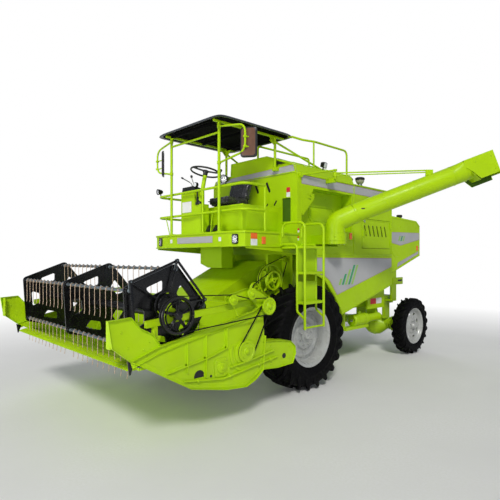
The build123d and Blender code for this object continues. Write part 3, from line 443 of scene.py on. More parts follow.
def vinyl(name, colour):
    """Upholstery vinyl: pebbled grain with a dull sheen."""
    look = Look(name, sheen_weight=0.15)
    cells = look.node("ShaderNodeTexVoronoi", Vector=look.place, Scale=380.0).outputs["Distance"]
    tone = look.mix(look.noise(10, 4), shade(colour, 0.7), shade(colour, 1.4))
    return look.finish(tone, look.span(look.noise(25, 3), 0, 1, 0.16, 0.3), cells, 0.18, 0.0015)


seat_vinyl = vinyl("seat_vinyl", (0.022, 0.022, 0.024))


def lens_glass():
    look = Look("lamp_glass", transmission_weight=0.85, ior=1.46)
    ribs = look.node("ShaderNodeTexWave", Vector=look.place, Scale=45.0).outputs["Fac"]
    return look.finish((0.95, 0.96, 0.98), look.span(look.noise(20, 2), 0, 1, 0.05, 0.12), ribs,
                       0.35, 0.002)


lamp_glass = lens_glass()
chrome = steel("reflector_bowl", (0.85, 0.85, 0.86), 0.12, 1.0, 0.0)


def mirror_face():
    look = Look("mirror_face", metallic=1.0)
    return look.finish((0.86, 0.88, 0.9), look.span(look.noise(5, 2), 0, 1, 0.03, 0.07))


mirror_glass = mirror_face()

# each slot's looks; the first one also goes on the CAD nodes of that slot
SLOT_LOOKS = {
    "tyre": [tyre_rubber], "silver_paint": [silver], "green_paint": [green, green_painted_shade],
    "black_paint": [black, black_plastic, slate_painted_sheen, painted_shade_lining], "grey_steel": [bat_steel],
    "bare_steel": [bare_steel, chrome], "tine_steel": [tine_steel], "engine_iron": [iron],
    "belt_rubber": [belt_rubber], "seat_vinyl": [seat_vinyl], "brown_plastic": [brown_plastic],
    "sticker_silver": [sticker, outline, leaf_film, deep_leaf_film],
    "white_plastic": [white_lens, white_film, pale_plastic],
    "amber_plastic": [amber, red_lens, red_film], "lamp_glass": [lamp_glass],
    "mirror_glass": [mirror_glass],
}
for part in frame["record"]["subparts"]:
    node = frame["nodes"][part["node"]]
    node.data.materials.clear()
    node.data.materials.append(SLOT_LOOKS[part["material_slot"]][0])
    node.data.shade_smooth()
    node.data.set_sharp_from_angle(angle=math.radians(30))


# ------------------------ flat plates and strips
def offset_line(points, distance, closed=False):
    """A 2-D line moved sideways by a distance, with mitred corners."""
    points = [Vector(p) for p in points]
    count = len(points)
    moved = []
    for i, here in enumerate(points):
        before = points[i - 1] if closed or i else None
        after = points[(i + 1) % count] if closed or i < count - 1 else None
        a = (here - before).normalized() if before is not None else (after - here).normalized()
        b = (after - here).normalized() if after is not None else a
        normal_a, normal_b = Vector((-a.y, a.x)), Vector((-b.y, b.x))
        middle = (normal_a + normal_b).normalized()
        moved.append(here + middle * distance / max(middle.dot(normal_a), 0.35))
    return moved


def strip(points, width):
    """The outline of a band of this width beside an open 2-D line."""
    return [tuple(p) for p in points] + [tuple(p) for p in reversed(offset_line(points, width))]


def inset(points, distance):
    """A closed outline shrunk inwards by a distance."""
    area = sum(a[0] * b[1] - b[0] * a[1] for a, b in zip(points, points[1:] + points[:1]))
    return [tuple(p) for p in offset_line(points, distance if area > 0 else -distance, True)]


def round_outline(points, radius):
    """A closed 2-D outline with rounded corners."""
    corners = smooth_corners([(*p, 0) for p in points], radius, True)
    return [(p.x, p.y) for p in corners]


def rectangle(a, b, soft=0.0):
    """A rectangle between two opposite corners, rounded if soft."""
    points = [(a[0], a[1]), (b[0], a[1]), (b[0], b[1]), (a[0], b[1])]
    return round_outline(points, soft) if soft else points


def ring_points(centre, radius, count, start=0.0):
    """Points evenly round a circle in a plane."""
    return [(centre[0] + radius * math.cos(t), centre[1] + radius * math.sin(t))
            for t in turns(count, start)]


def plate(shape, axis, outer, holes, low, high):
    """A flat sheet with holes, pulled along an axis."""
    place = place_on(axis)
    loops = [outer, *holes]
    faces = tessellate_polygon([[Vector((*p, 0)) for p in loop] for loop in loops])
    flat = [p for loop in loops for p in loop]
    count = len(flat)
    made = [tuple(face) for face in faces]
    made += [tuple(count + i for i in reversed(face)) for face in faces]
    start = 0
    for loop in loops:
        for i in range(len(loop)):
            a, b = start + i, start + (i + 1) % len(loop)
            made.append((a, b, count + b, count + a))
        start += len(loop)
    shape.add([place(p, low) for p in flat] + [place(p, high) for p in flat], made)


def flange(shape, axis, outline, thick, low, high):
    """A rim that stands along a closed outline, thick inwards."""
    plate(shape, axis, outline, [inset(outline, thick)], low, high)


def belt(shape, x, width, thick, wheels):
    """A belt in the Y Z plane round wheels of (y, z, radius), all on its inner side."""
    points = []
    for i, (y, z, radius) in enumerate(wheels):
        before, after = wheels[i - 1], wheels[(i + 1) % len(wheels)]
        angles = []
        for a, b in ((before, (y, z, radius)), ((y, z, radius), after)):
            run = Vector((b[0] - a[0], b[1] - a[1]))
            lean = math.asin((a[2] - b[2]) / run.length)
            angles.append(math.atan2(run.y, run.x) - math.pi / 2 + lean)
        start, end = angles
        while end < start:
            end += 2 * math.pi
        steps = max(2, int((end - start) / 0.22))
        for k in range(steps + 1):
            t = start + (end - start) * k / steps
            points.append((y + radius * math.cos(t), z + radius * math.sin(t)))
    outer = [tuple(p) for p in offset_line(points, -thick, True)]
    plate(shape, "x", outer, [points], x - width / 2, x + width / 2)


def pulley(shape, x, width, y, z, radius, bore, groove):
    """A V-belt pulley turned about X."""
    half = width / 2
    profile = [(-half, bore), (-half, radius), (-half + 0.006, radius + 0.003),
               (-half * 0.3, radius - groove), (half * 0.3, radius - groove),
               (half - 0.006, radius + 0.003), (half, radius), (half, radius - 0.02),
               (half * 0.45, radius - 0.028), (half * 0.45, bore + 0.03),
               (half * 1.1, bore + 0.022), (half * 1.1, bore)]
    shape.lathe(profile, (x, y, z), X_AXIS, 40, True)


# ------------------------ wheels
def casing(radius, width, rim_radius, lug):
    """The tyre's outline from bead to bead, as (along, radius), with a raised rib on each wall."""
    half, tread = width / 2, radius - lug
    wall = tread - rim_radius
    side = [(half * 0.74, rim_radius - 0.004), (half * 0.8, rim_radius + wall * 0.05),
            (half * 0.86, rim_radius + wall * 0.12), (half * 0.93, rim_radius + wall * 0.24),
            (half * 0.965, rim_radius + wall * 0.34), (half * 0.985, rim_radius + wall * 0.36),
            (half * 0.99, rim_radius + wall * 0.44), (half * 0.975, rim_radius + wall * 0.46),
            (half * 0.97, rim_radius + wall * 0.62), (half * 0.94, rim_radius + wall * 0.78),
            (half * 0.87, rim_radius + wall * 0.9), (half * 0.72, rim_radius + wall * 0.965),
            (half * 0.4, tread - wall * 0.008), (0, tread)]
    return side + [(-a, r) for a, r in reversed(side[:-1])]


def make_tyre(name, x, y, radius, width, rim_radius, lug, count):
    """A tractor tyre with chevron lugs that stand on the ground at z 0."""
    shape = Shape()
    shape.lathe(casing(radius, width, rim_radius, lug), (x, y, radius), X_AXIS, 96)
    half = width / 2
    wall = radius - lug - rim_radius
    # a lug from the tread's middle out over the shoulder, in shares of the half width, of the lug's
    # height and of the wall: (along, rise of its top, depth of its foot)
    path = [(-0.04, 0.0, 0.05), (0.2, 0.0, 0.05), (0.45, -0.02, 0.06), (0.68, -0.08, 0.09),
            (0.86, -0.2, 0.13), (0.955, -0.6, 0.17), (0.99, -1.45, 0.27), (0.985, -2.3, 0.42)]
    turn = width * 0.62 / radius
    pitch = 2 * math.pi / count
    for number in range(count):
        for hand in (1, -1):
            rings = []
            for step, (along, rise, foot) in enumerate(path):
                lead = turn * (step / (len(path) - 1)) ** 0.9
                angle = (number + (0.5 if hand < 0 else 0)) * pitch - lead
                top = radius + rise * lug
                base = radius - lug - wall * foot
                taper = 0.5 + 0.5 * min(1, step / 2)
                thick = (0.03 + 0.012 * taper) * radius / FRONT_AXLE_Z
                ring = []
                for r, spread in ((base, 0.62), (top, 0.4), (top, -0.4), (base, -0.62)):
                    a = angle + spread * thick / radius
                    ring.append((x + hand * half * along, y + r * math.cos(a),
                                 radius + r * math.sin(a)))
                rings.append(ring)
            shape.loft(rings)
    shape.done(name + "_lugged_tyre", tyre_rubber, name + "_wheel", [name + "_tyre"], 40)


def make_front_rim(name, x, side):
    """Profiles are (outward from the wheel's middle, radius)."""
    centre, axis = (x, 0, FRONT_AXLE_Z), (side, 0, 0)
    shape = Shape()
    barrel = [(-0.178, 0.388), (-0.186, 0.402), (-0.18, 0.408), (-0.17, 0.4), (-0.165, 0.382),
              (-0.11, 0.376), (-0.08, 0.348), (0.02, 0.345), (0.06, 0.372), (0.165, 0.382),
              (0.17, 0.4), (0.18, 0.408), (0.188, 0.404), (0.186, 0.394), (0.178, 0.38),
              (0.172, 0.366), (0.145, 0.36), (0.135, 0.352), (0.075, 0.35), (0.03, 0.33),
              (-0.085, 0.332), (-0.12, 0.362), (-0.165, 0.368)]
    shape.lathe(barrel, centre, axis, 96, True)
    disc = [(0.02, 0.338), (0.034, 0.336), (0.04, 0.3), (0.052, 0.292), (0.058, 0.262),
            (0.048, 0.248), (0.04, 0.205), (0.044, 0.19), (0.07, 0.172), (0.074, 0.15),
            (0.074, 0.0), (0.06, 0.0), (0.06, 0.148), (0.034, 0.176), (0.028, 0.2), (0.036, 0.25),
            (0.042, 0.27), (0.03, 0.3)]
    shape.lathe(disc, centre, axis, 96)
    hub = [(0.06, 0.0), (0.06, 0.082), (0.078, 0.086), (0.086, 0.08), (0.09, 0.052), (0.112, 0.048),
           (0.122, 0.04), (0.124, 0.022), (0.118, 0.018), (0.118, 0.0)]
    shape.lathe(hub, centre, axis, 48)
    inner = [(0.045, 0.0), (0.045, 0.14), (0.03, 0.15), (-0.04, 0.15), (-0.06, 0.115),
             (-0.11, 0.112), (-0.11, 0.0)]
    shape.lathe(inner, centre, axis, 48)
    for y, z in ring_points((0, FRONT_AXLE_Z), 0.122, 8, math.pi / 8):
        shape.bolt((x + side * 0.073, y, z), axis, 0.017)
        shape.drum((x + side * 0.08, y, z), (x + side * 0.104, y, z), 0.008, 12, 0.002)
    # four pairs of bolts between the disc and the well, then the valve
    for y, z in [p for shift in (-0.075, 0.075)
                 for p in ring_points((0, FRONT_AXLE_Z), 0.3, 4, 0.5 + shift)]:
        shape.bolt((x + side * 0.046, y, z), axis, 0.011)
    foot, tip = [(x + side * out, r * math.cos(2.1), FRONT_AXLE_Z + r * math.sin(2.1))
                 for out, r in ((0.06, 0.33), (0.125, 0.356))]
    shape.drum(foot, tip, 0.007, 10, 0.002)
    shape.done(name + "_wheel_disc", silver, name + "_wheel", [name + "_rim"], 40)


def make_rear_rim(name, x, side):
    """As the front rim, with eight windows in the disc."""
    y0, z0 = REAR_AXLE_Y, REAR_AXLE_Z
    centre, axis = (x, y0, z0), (side, 0, 0)
    shape = Shape()
    barrel = [(-0.092, 0.322), (-0.098, 0.334), (-0.092, 0.339), (-0.084, 0.332), (-0.08, 0.318),
              (-0.05, 0.312), (-0.03, 0.29), (0.02, 0.29), (0.045, 0.312), (0.08, 0.318),
              (0.084, 0.332), (0.092, 0.339), (0.099, 0.335), (0.097, 0.326), (0.088, 0.312),
              (0.075, 0.304), (0.05, 0.3), (0.03, 0.278), (-0.035, 0.278), (-0.055, 0.3),
              (-0.085, 0.306)]
    shape.lathe(barrel, centre, axis, 80, True)
    holes = []
    for middle in turns(8, 0.35):
        arc = [middle + t for t in (-0.15, -0.075, 0, 0.075, 0.15)]
        points = [(0.248, t) for t in arc] + [(0.205, t) for t in reversed(arc)]
        hole = [(y0 + r * math.cos(t), z0 + r * math.sin(t)) for r, t in points]
        holes.append(round_outline(hole, 0.012))
    holes.append(ring_points((y0, z0), 0.148, 48))
    plate(shape, "x", ring_points((y0, z0), 0.286, 72), holes,
          *outward(x + side * 0.022, side, 0.01))
    dish = [(0.022, 0.152), (0.032, 0.152), (0.05, 0.135), (0.054, 0.118), (0.054, 0.0),
            (0.044, 0.0), (0.044, 0.114), (0.04, 0.13)]
    shape.lathe(dish, centre, axis, 64)
    hub = [(0.048, 0.0), (0.048, 0.062), (0.072, 0.06), (0.08, 0.052), (0.104, 0.044),
           (0.112, 0.034), (0.114, 0.0)]
    shape.lathe(hub, centre, axis, 40)
    inner = [(0.045, 0.0), (0.045, 0.085), (-0.07, 0.08), (-0.07, 0.0)]
    shape.lathe(inner, centre, axis, 40)
    for y, z in ring_points((y0, z0), 0.092, 8, math.pi / 8):
        shape.bolt((x + side * 0.053, y, z), axis, 0.016)
        shape.drum((x + side * 0.061, y, z), (x + side * 0.081, y, z), 0.007, 12, 0.002)
    shape.done(name + "_wheel_disc", silver, name + "_wheel", [name + "_rim"], 40)


for hand, side in SIDES:
    make_tyre("front_" + hand, side * 1.04, 0, FRONT_AXLE_Z, 0.456, 0.385, 0.046, 22)
    make_front_rim("front_" + hand, side * 1.04, side)
    make_tyre("rear_" + hand, side * 1.05, REAR_AXLE_Y, REAR_AXLE_Z, 0.24, 0.318, 0.03, 20)
    make_rear_rim("rear_" + hand, side * 1.05, side)


# ------------------------ header: end sheets
END_X = 1.545                            # outer face of the end sheets
AUGER_Y, AUGER_Z = -1.6, 0.745
REEL_Y, REEL_Z, REEL_R = -2.35, 1.262, 0.43
BAT_ANGLES = [147.5 - 72 * number for number in range(5)]
TOP_EDGE = [(-1.225, 1.29), (-1.38, 1.215), (-1.553, 1.18), (-1.817, 1.12), (-2.061, 1.084),
            (-2.285, 1.042), (-2.524, 0.993), (-2.78, 0.905)]
LOW_EDGE = [(-2.78, 0.905), (-2.175, 0.545), (-1.75, 0.45), (-1.483, 0.425), (-1.339, 0.48),
            (-1.235, 0.56), (-1.2, 0.93)]
TAIL_EDGE = [(-1.238, 0.56), (-1.238, 0.87), (-1.0, 0.85), (-0.78, 0.815), (-0.7, 0.745),
             (-0.69, 0.66), (-0.745, 0.548), (-1.0, 0.538)]
DIVIDER_EDGE = [(-2.985, 1.27), (-2.78, 1.282), (-2.696, 1.182), (-2.573, 1.115), (-2.5, 1.0),
                (-2.785, 0.905), (-2.95, 1.04)]


def sheet_slab(shape, side, points, depth, soft=0.0015):
    """A pad on the outer face of an end sheet; the right side has room for 9 mm only."""
    depth = depth if side > 0 else min(depth, 0.009)
    shape.prism("x", points, *outward(side * END_X, side, depth, 0.001), soft)


for hand, side in SIDES:
    shape = Shape()
    sheet_slab(shape, side, strip(TOP_EDGE, 0.062), 0.008)
    sheet_slab(shape, side, strip(TOP_EDGE, 0.005), 0.03)
    sheet_slab(shape, side, strip(offset_line(TOP_EDGE, 0.058), 0.005), 0.018)
    sheet_slab(shape, side, strip(LOW_EDGE, 0.042), 0.006)
    sheet_slab(shape, side, strip(LOW_EDGE, 0.005), 0.032)
    for y, low, high in ((-2.211, 0.7, 0.985), (-1.995, 0.617, 1.03), (-1.74, 0.872, 1.075)):
        sheet_slab(shape, side, rectangle((y - 0.004, low), (y + 0.004, high)), 0.026)
        sheet_slab(shape, side, rectangle((y - 0.022, low), (y, high)), 0.004)
    rib = [(-2.432, 0.733), (-1.979, 0.803), (-1.727, 0.87)]
    sheet_slab(shape, side, strip(rib, 0.008), 0.024)
    sheet_slab(shape, side, strip(rib, 0.026), 0.004)
    arc = [on_circle(-1.492, 0.793, 0.172, a) for a in range(150, 301, 10)]
    sheet_slab(shape, side, strip(list(reversed(arc)), 0.03), 0.01)
    bracket = round_outline([(-1.889, 0.6), (-1.727, 0.59), (-1.727, 0.78), (-1.889, 0.77)], 0.03)
    sheet_slab(shape, side, bracket, 0.009)
    for y, z in ((-1.868, 0.622), (-1.748, 0.614), (-1.748, 0.756), (-1.868, 0.75)):
        shape.bolt((side * (END_X + 0.0085), y, z), (side, 0, 0), 0.01 if side > 0 else 0.0006)
    tail = Shape()
    sheet_slab(tail, side, strip(TAIL_EDGE[1:] + TAIL_EDGE[:1], -0.005), 0.018)
    for y, z in ((-1.1, 0.6), (-1.1, 0.8), (-0.8, 0.62), (-0.8, 0.76)):
        tail.bolt((side * END_X, y, z), (side, 0, 0), 0.01 if side > 0 else 0.008)
    if side > 0:
        ends = [(-2.252, 0.635), (-1.792, 0.571), (-1.015, 0.67)]
        shape.tube([(1.566, y, z) for y, z in ends], 0.009, 0.08)
        shape.tube([(1.568, -1.702, 0.67), (1.568, -1.4, 0.7), (1.568, -1.071, 0.75)], 0.009, 0.08)
        for y, z in ((-2.1, 0.614), (-1.7, 0.583), (-1.3, 0.634), (-1.12, 0.657)):
            shape.block((END_X, 1.578), (y - 0.01, y + 0.01), (z - 0.014, z + 0.014), 0.003)
        shape.drum((END_X, -1.808, 0.685), (1.572, -1.808, 0.685), 0.052)
        shape.drum((1.57, -1.808, 0.685), (1.584, -1.808, 0.685), 0.024)
        for y in (-2.62, -2.45, -2.17, -1.94, -1.68, -1.46, -1.33):
            z = TOP_EDGE[0][1] - (TOP_EDGE[0][0] - y) * 0.228 - 0.035
            shape.bolt((1.553, y, z), X_AXIS, 0.009)
        shape.drum((END_X, -1.492, 0.793), (1.556, -1.492, 0.793), 0.135)
    shape.done("header_end_dressing_" + hand, green, "header")
    tail.done("header_tail_dressing_" + hand, green, "header")

    # black pads on the end sheet: painted shade in place of its openings
    dark = Shape()
    half_moon = [on_circle(-2.07, 0.645, 0.06, a) for a in range(-10, 191, 20)]
    for points in (half_moon, ring_points((-1.93, 0.621), 0.013, 16),
                   ring_points((-0.884, 0.656), 0.03, 24)):
        sheet_slab(dark, side, points, 0.0022, 0)
    dark.done("header_end_openings_" + hand, black_plastic, "header")

    skid = Shape()
    skid.prism("x", [(-2.8, 0.908), (-2.742, 0.882), (-2.772, 0.79), (-2.784, 0.788)],
               *outward(side * 1.532, side, 0.0165), 0.004)
    skid.done("header_skid_" + hand, black, "header")

    lip = Shape()
    low, high = (1.5545, 1.578) if side > 0 else (-1.5445, -1.522)
    flange(lip, "x", DIVIDER_EDGE, 0.004, low, high)
    lip.tube([(side * 1.535, -2.553, 1.15), (side * 1.535, -2.533, 0.965)], 0.014)
    for y, z in ((-2.6, 1.05), (-2.66, 0.99), (-2.86, 1.16), (-2.8, 1.02)):
        lip.bolt((side * 1.5545 if side > 0 else -1.545, y, z), X_AXIS, 0.01)
    lip.done("divider_lip_" + hand, green, "header")

# ------------------------ header: knife, floor ribs and back
fingers = Shape()
# y, half width, low, high
finger_sections = ((-2.64, 0.011, 0.812, 0.842), (-2.7, 0.011, 0.808, 0.846),
                   (-2.745, 0.008, 0.81, 0.838), (-2.782, 0.003, 0.815, 0.826))
for number in range(60):
    x = -1.475 + 0.05 * number
    fingers.loft([[(x - wide, y, low), (x + wide, y, low), (x + wide, y, high), (x - wide, y, high)]
                  for y, wide, low, high in finger_sections])
fingers.block((-1.531, 1.531), (-2.69, -2.622), (0.808, 0.8322), 0.003)
fingers.done("knife_fingers", green, "header", ["knife_bar"])
sections = Shape()
for number in range(59):
    x = -1.45 + 0.05 * number
    sections.prism("z", [(x - 0.023, -2.69), (x + 0.023, -2.69), (x + 0.005, -2.742),
                         (x - 0.005, -2.742)], 0.8325, 0.8355, 0)
sections.block((-1.525, 1.525), (-2.69, -2.655), (0.8325, 0.8385), 0.001)
sections.done("knife_sections", bare_steel, "header")

back = Shape()
for x in (-1.45, -1.15, -0.85, -0.6, 0.6, 0.85, 1.15, 1.45):
    back.prism("y", rectangle((x - 0.022, 0.76), (x + 0.022, 1.216)), -1.291, -1.252, 0.003)
back.block((-1.533, 1.533), (-1.292, -1.262), (0.742, 0.786), 0.004)
back.block((-1.533, 1.533), (-1.236, -1.226), (1.222, 1.268), 0.003)
for x in (-1.05, -0.35, 0.35, 1.05):
    foot = [(-2.6, 0.815), (-2.59, 0.795), (-1.79, 0.47), (-1.6, 0.428), (-1.6, 0.455),
            (-1.8, 0.505)]
    back.prism("x", foot, x - 0.02, x + 0.02, 0.003)
back.done("header_back_ribs", green, "header")

# ------------------------ header auger
auger = Shape()
auger.drum((-1.42, AUGER_Y, AUGER_Z), (1.42, AUGER_Y, AUGER_Z), 0.15, 56, 0.006)
auger.drum((-1.532, AUGER_Y, AUGER_Z), (1.532, AUGER_Y, AUGER_Z), 0.032, 24)
for side in (1, -1):
    rings = []
    for step in range(73):
        share = step / 72
        x = side * (1.412 - share * 1.0)
        angle = side * share * 5.0 * math.pi
        outer = 0.27 - 0.03 * max(0, share - 0.9) * 10
        out = Vector((0, math.cos(angle), math.sin(angle)))
        rings.append([Vector((x + dx, AUGER_Y, AUGER_Z)) + out * r
                      for dx, r in ((-0.003, 0.147), (-0.003, outer), (0.003, outer),
                                    (0.003, 0.147))])
    auger.loft(rings)
    auger.sleeve((side * 1.416, AUGER_Y, AUGER_Z), X_AXIS, -0.004, 0.004, 0.146, 0.178, 56)
auger.done("header_auger_flights", green, "header_auger", ["header_auger"])
prongs = Shape()
for number in range(14):
    x = -0.36 + 0.72 * number / 13
    angle = number * 2.4
    out = Vector((0, math.cos(angle), math.sin(angle)))
    start = Vector((x, AUGER_Y, AUGER_Z)) + out * 0.145
    prongs.drum(start, start + out * 0.115, 0.008, 12)
    prongs.drum(start, start + out * 0.016, 0.024, 16)
prongs.done("header_auger_fingers", bare_steel, "header_auger")

# ------------------------ header drives
JACK, AUGER_DISC = (-1.18, 1.255), (-1.48, 0.8)
IDLER_ONE, IDLER_TWO = (-1.69, 1.357), (-1.435, 1.404)
drive_plate = [(-1.28, 1.15), (-1.1, 1.15), (-1.08, 1.32), (-1.3, 1.44), (-1.48, 1.462),
               (-1.76, 1.4), (-1.76, 1.33), (-1.42, 1.345), (-1.33, 1.27)]
drive = Shape()
drive.prism("x", drive_plate, END_X, 1.552, 0.002)
flange(drive, "x", drive_plate, 0.004, 1.552, 1.566)
for (y, z), radius, x in ((JACK, 0.094, 1.6), (JACK, 0.062, 1.568), (IDLER_ONE, 0.054, 1.6),
                          (IDLER_TWO, 0.06, 1.6), (AUGER_DISC, 0.112, 1.568)):
    pulley(drive, x, 0.026, y, z, radius, 0.012, 0.01)
for (y, z), far in ((JACK, 1.622), (IDLER_ONE, 1.622), (IDLER_TWO, 1.622), (AUGER_DISC, 1.592)):
    drive.drum((END_X, y, z), (far, y, z), 0.017, 20)
    drive.drum((far - 0.01, y, z), (far + 0.004, y, z), 0.027, 20)
    drive.bolt((far + 0.004, y, z), X_AXIS, 0.012)
for middle, radius, x in ((JACK, 0.045, 1.606), (AUGER_DISC, 0.075, 1.574)):
    for y, z in ring_points(middle, radius, 5, 0.3):
        drive.bolt((x, y, z), X_AXIS, 0.008)
drive.tube([(1.56, -1.6, 1.18), (1.56, -1.66, 1.3), (1.56, -1.69, 1.357)], 0.011)
drive.done("header_drive_pulleys", green, "header", ["header_drive"])

rubber_belt = Shape()
belt(rubber_belt, 1.568, 0.013, 0.008, [(*AUGER_DISC, 0.104), (*JACK, 0.056)])
rubber_belt.done("auger_drive_belt", belt_rubber, "header", slot="black_paint")

run = [on_circle(REEL_Y, REEL_Z, 0.168, a) for a in range(262, 84, -8)]
run += [on_circle(*IDLER_ONE, 0.048, a) for a in (100, 80, 60)]
run += [on_circle(*IDLER_TWO, 0.062, a) for a in (245, 262, 279, 292)]
run += [on_circle(*JACK, 0.086, a) for a in range(84, -90, -14)]
reel_belt = Shape()
plate(reel_belt, "x", [tuple(p) for p in offset_line(run, 0.009, True)], [run], 1.593, 1.607)
reel_belt.done("reel_drive_belt", belt_rubber, "reel_arms", slot="black_paint")

# ------------------------ reel
reel = Shape()
reel.drum((-1.5, REEL_Y, REEL_Z), (1.64, REEL_Y, REEL_Z), 0.024, 24)
reel.drum((-1.4, REEL_Y, REEL_Z), (1.4, REEL_Y, REEL_Z), 0.045, 36, 0.004)
for x in (-1.39, 0.0, 1.39):
    corners = [on_circle(REEL_Y, REEL_Z, REEL_R + 0.056, a) for a in BAT_ANGLES]
    outline_points = round_outline(corners, 0.055)
    holes = [ring_points((REEL_Y, REEL_Z), 0.044, 24)]
    for a in BAT_ANGLES:
        holes.append(ring_points(on_circle(REEL_Y, REEL_Z, REEL_R, a), 0.0205, 16))
        window = [on_circle(REEL_Y, REEL_Z, r, a - 36 + t) for r, t in (
            (REEL_R - 0.105, -19), (REEL_R - 0.105, 19), (REEL_R * 0.5, 17), (REEL_R * 0.5, -17))]
        window = round_outline(window, 0.028)
        holes.append(window)
        flange(reel, "x", window, 0.004, x - 0.016, x + 0.004)
    plate(reel, "x", outline_points, holes, x - 0.0035, x + 0.0035)
    flange(reel, "x", outline_points, 0.004, x - 0.02, x + 0.0035)
    for shift in (-0.02, 0.0045):
        reel.sleeve((x, REEL_Y, REEL_Z), X_AXIS, shift, shift + 0.01, 0.044, 0.086, 40)
    for a in BAT_ANGLES:
        y, z = on_circle(REEL_Y, REEL_Z, 0.07, a + 20)
        reel.bolt((x + 0.0145, y, z), X_AXIS, 0.01)
        y, z = on_circle(REEL_Y, REEL_Z, REEL_R, a)
        reel.sleeve((x, y, z), X_AXIS, -0.012, 0.012, 0.0205, 0.036, 24)
groove = [(-0.024, 0.15), (-0.024, 0.172), (-0.019, 0.175), (-0.013, 0.172), (-0.005, 0.16),
          (0.005, 0.16), (0.013, 0.172), (0.019, 0.175), (0.024, 0.172), (0.024, 0.15),
          (0.006, 0.145), (-0.006, 0.145)]
reel.lathe(groove, (1.6, REEL_Y, REEL_Z), X_AXIS, 64, True)
reel.lathe([(0.008, 0.128), (0.026, 0.126), (0.028, 0.131), (0.01, 0.134)], (1.6, REEL_Y, REEL_Z),
           X_AXIS, 56, True)
for spoke in range(5):
    a = 90 + 72 * spoke
    line = [on_circle(REEL_Y, REEL_Z, r, a + t) for r, t in ((0.028, -28), (0.15, -5.5),
        (0.15, 5.5), (0.028, 28))]
    reel.prism("x", line, 1.594, 1.606, 0.002)
    web = [on_circle(REEL_Y, REEL_Z, r, a + t) for r, t in ((0.03, -6), (0.132, -1.5), (0.132, 1.5),
        (0.03, 6))]
    reel.prism("x", web, 1.604, 1.622, 0.001)
reel.drum((1.572, REEL_Y, REEL_Z), (1.632, REEL_Y, REEL_Z), 0.04, 32, 0.004)
reel.done("reel_frames", black, "reel", ["reel"])

for number, a in enumerate(BAT_ANGLES):
    name = f"reel_bat_{number + 1}"
    y, z = on_circle(REEL_Y, REEL_Z, REEL_R, a)
    bat, wires = Shape(), Shape()
    bat.drum((-1.406, y, z), (1.416, y, z), 0.0135, 20, 0.002)
    for end_x in (-1.39, 0.0, 1.39):
        bat.drum((end_x - 0.018, y, z), (end_x + 0.018, y, z), 0.019, 20, 0.002)
    length = 0.19 if number == 3 else 0.275   # shorter where a bat hangs over the platform
    arm = round_outline([(y - 0.016, z - 0.018), (y + 0.016, z - 0.018), (y + 0.012, z + 0.094),
                         (y - 0.012, z + 0.094)], 0.014)
    bat.prism("x", arm, 1.4065, 1.4155, 0.001)
    bat.drum((1.407, y, z + 0.08), (1.4435, y, z + 0.08), 0.008, 14, 0.001)
    for tine in range(23):
        x = -1.345 + 0.1215 * tine
        if min(abs(x), abs(abs(x) - 1.39)) < 0.03:
            continue
        bat.sleeve((x, y, z), X_AXIS, -0.011, 0.011, 0.013, 0.019, 12)
        bat.block((x - 0.007, x + 0.007), (y - 0.008, y + 0.006), (z + 0.016, z + 0.026), 0.002)
        wires.sleeve((x + 0.018, y, z), X_AXIS, -0.005, 0.001, 0.0135, 0.019, 12)
        hang = [(0.014, 0.018, -0.006), (0.013, 0.019, 0.03), (0.018, 0.02, length * 0.5),
                (0.024, 0.02, length * 0.85), (0.027, 0.026, length)]
        wires.tube([(x + across, y - out, z - down) for across, out, down in hang], 0.0034, 0.0, 6)
    bat.done(name + "_tube", bat_steel, name, [name])
    wires.done(name + "_tines", tine_steel, name)

star = Shape()
star_z = REEL_Z + 0.08
star.sleeve((1.436, REEL_Y, star_z), X_AXIS, -0.005, 0.005, 0.119, 0.136, 56)
eyes = [on_circle(REEL_Y, star_z, REEL_R, a) for a in BAT_ANGLES]
for number, a in enumerate(BAT_ANGLES):
    line = [on_circle(REEL_Y, star_z, r, a + t) for r, t in ((0.13, -3.2), (0.415, -1.0),
        (0.415, 1.0), (0.13, 3.2))]
    star.prism("x", line, 1.4315, 1.4405, 0.001)
    star.sleeve((1.436, *eyes[number]), X_AXIS, -0.005, 0.005, 0.0086, 0.019, 20)
    here, there = Vector(eyes[number]), Vector(eyes[(number + 1) % 5])
    along = (there - here).normalized() * 0.017
    side_step = Vector((-along.y, along.x)).normalized() * 0.012
    bar = [here + along - side_step, there - along - side_step, there - along + side_step,
           here + along + side_step]
    star.prism("x", [tuple(p) for p in bar], 1.4315, 1.4405, 0.001)
star.done("reel_star_frame", black, "reel_star", ["reel_star"])

carrier_cover = Shape()
carrier_cover.lathe([(-0.0105, 0.108), (-0.0105, 0.1125), (0.0105, 0.1125), (0.0105, 0.03),
                     (0.009, 0.03), (0.009, 0.108)], (1.4565, REEL_Y, star_z), X_AXIS, 56, True)
carrier_cover.done("reel_star_carrier_cover", black, "reel_arms")


# ------------------------ deck: fascia and lamps
def film_patch(name, axis, points, at, out, look, border=0.0):
    """A sticker on a flat wall; out is the side it faces, and border adds a thin mauve edge."""
    if border:
        edge = Shape()
        edge.prism(axis, points, *outward(at, out, 0.001), 0)
        edge.done(name + "_edge", outline)
        points = inset(points, border)
    patch = Shape()
    patch.prism(axis, points, *outward(at, out, 0.0018), 0)
    patch.done(name, look)


def reflector(name, side, wall, y, z, half_y, half_z):
    """An amber reflector on a side wall."""
    shape = Shape()
    shape.prism("x", rectangle((y - half_y, z - half_z), (y + half_y, z + half_z), 0.008),
                *outward(wall, side, 0.008), 0.003)
    shape.done(name, amber)


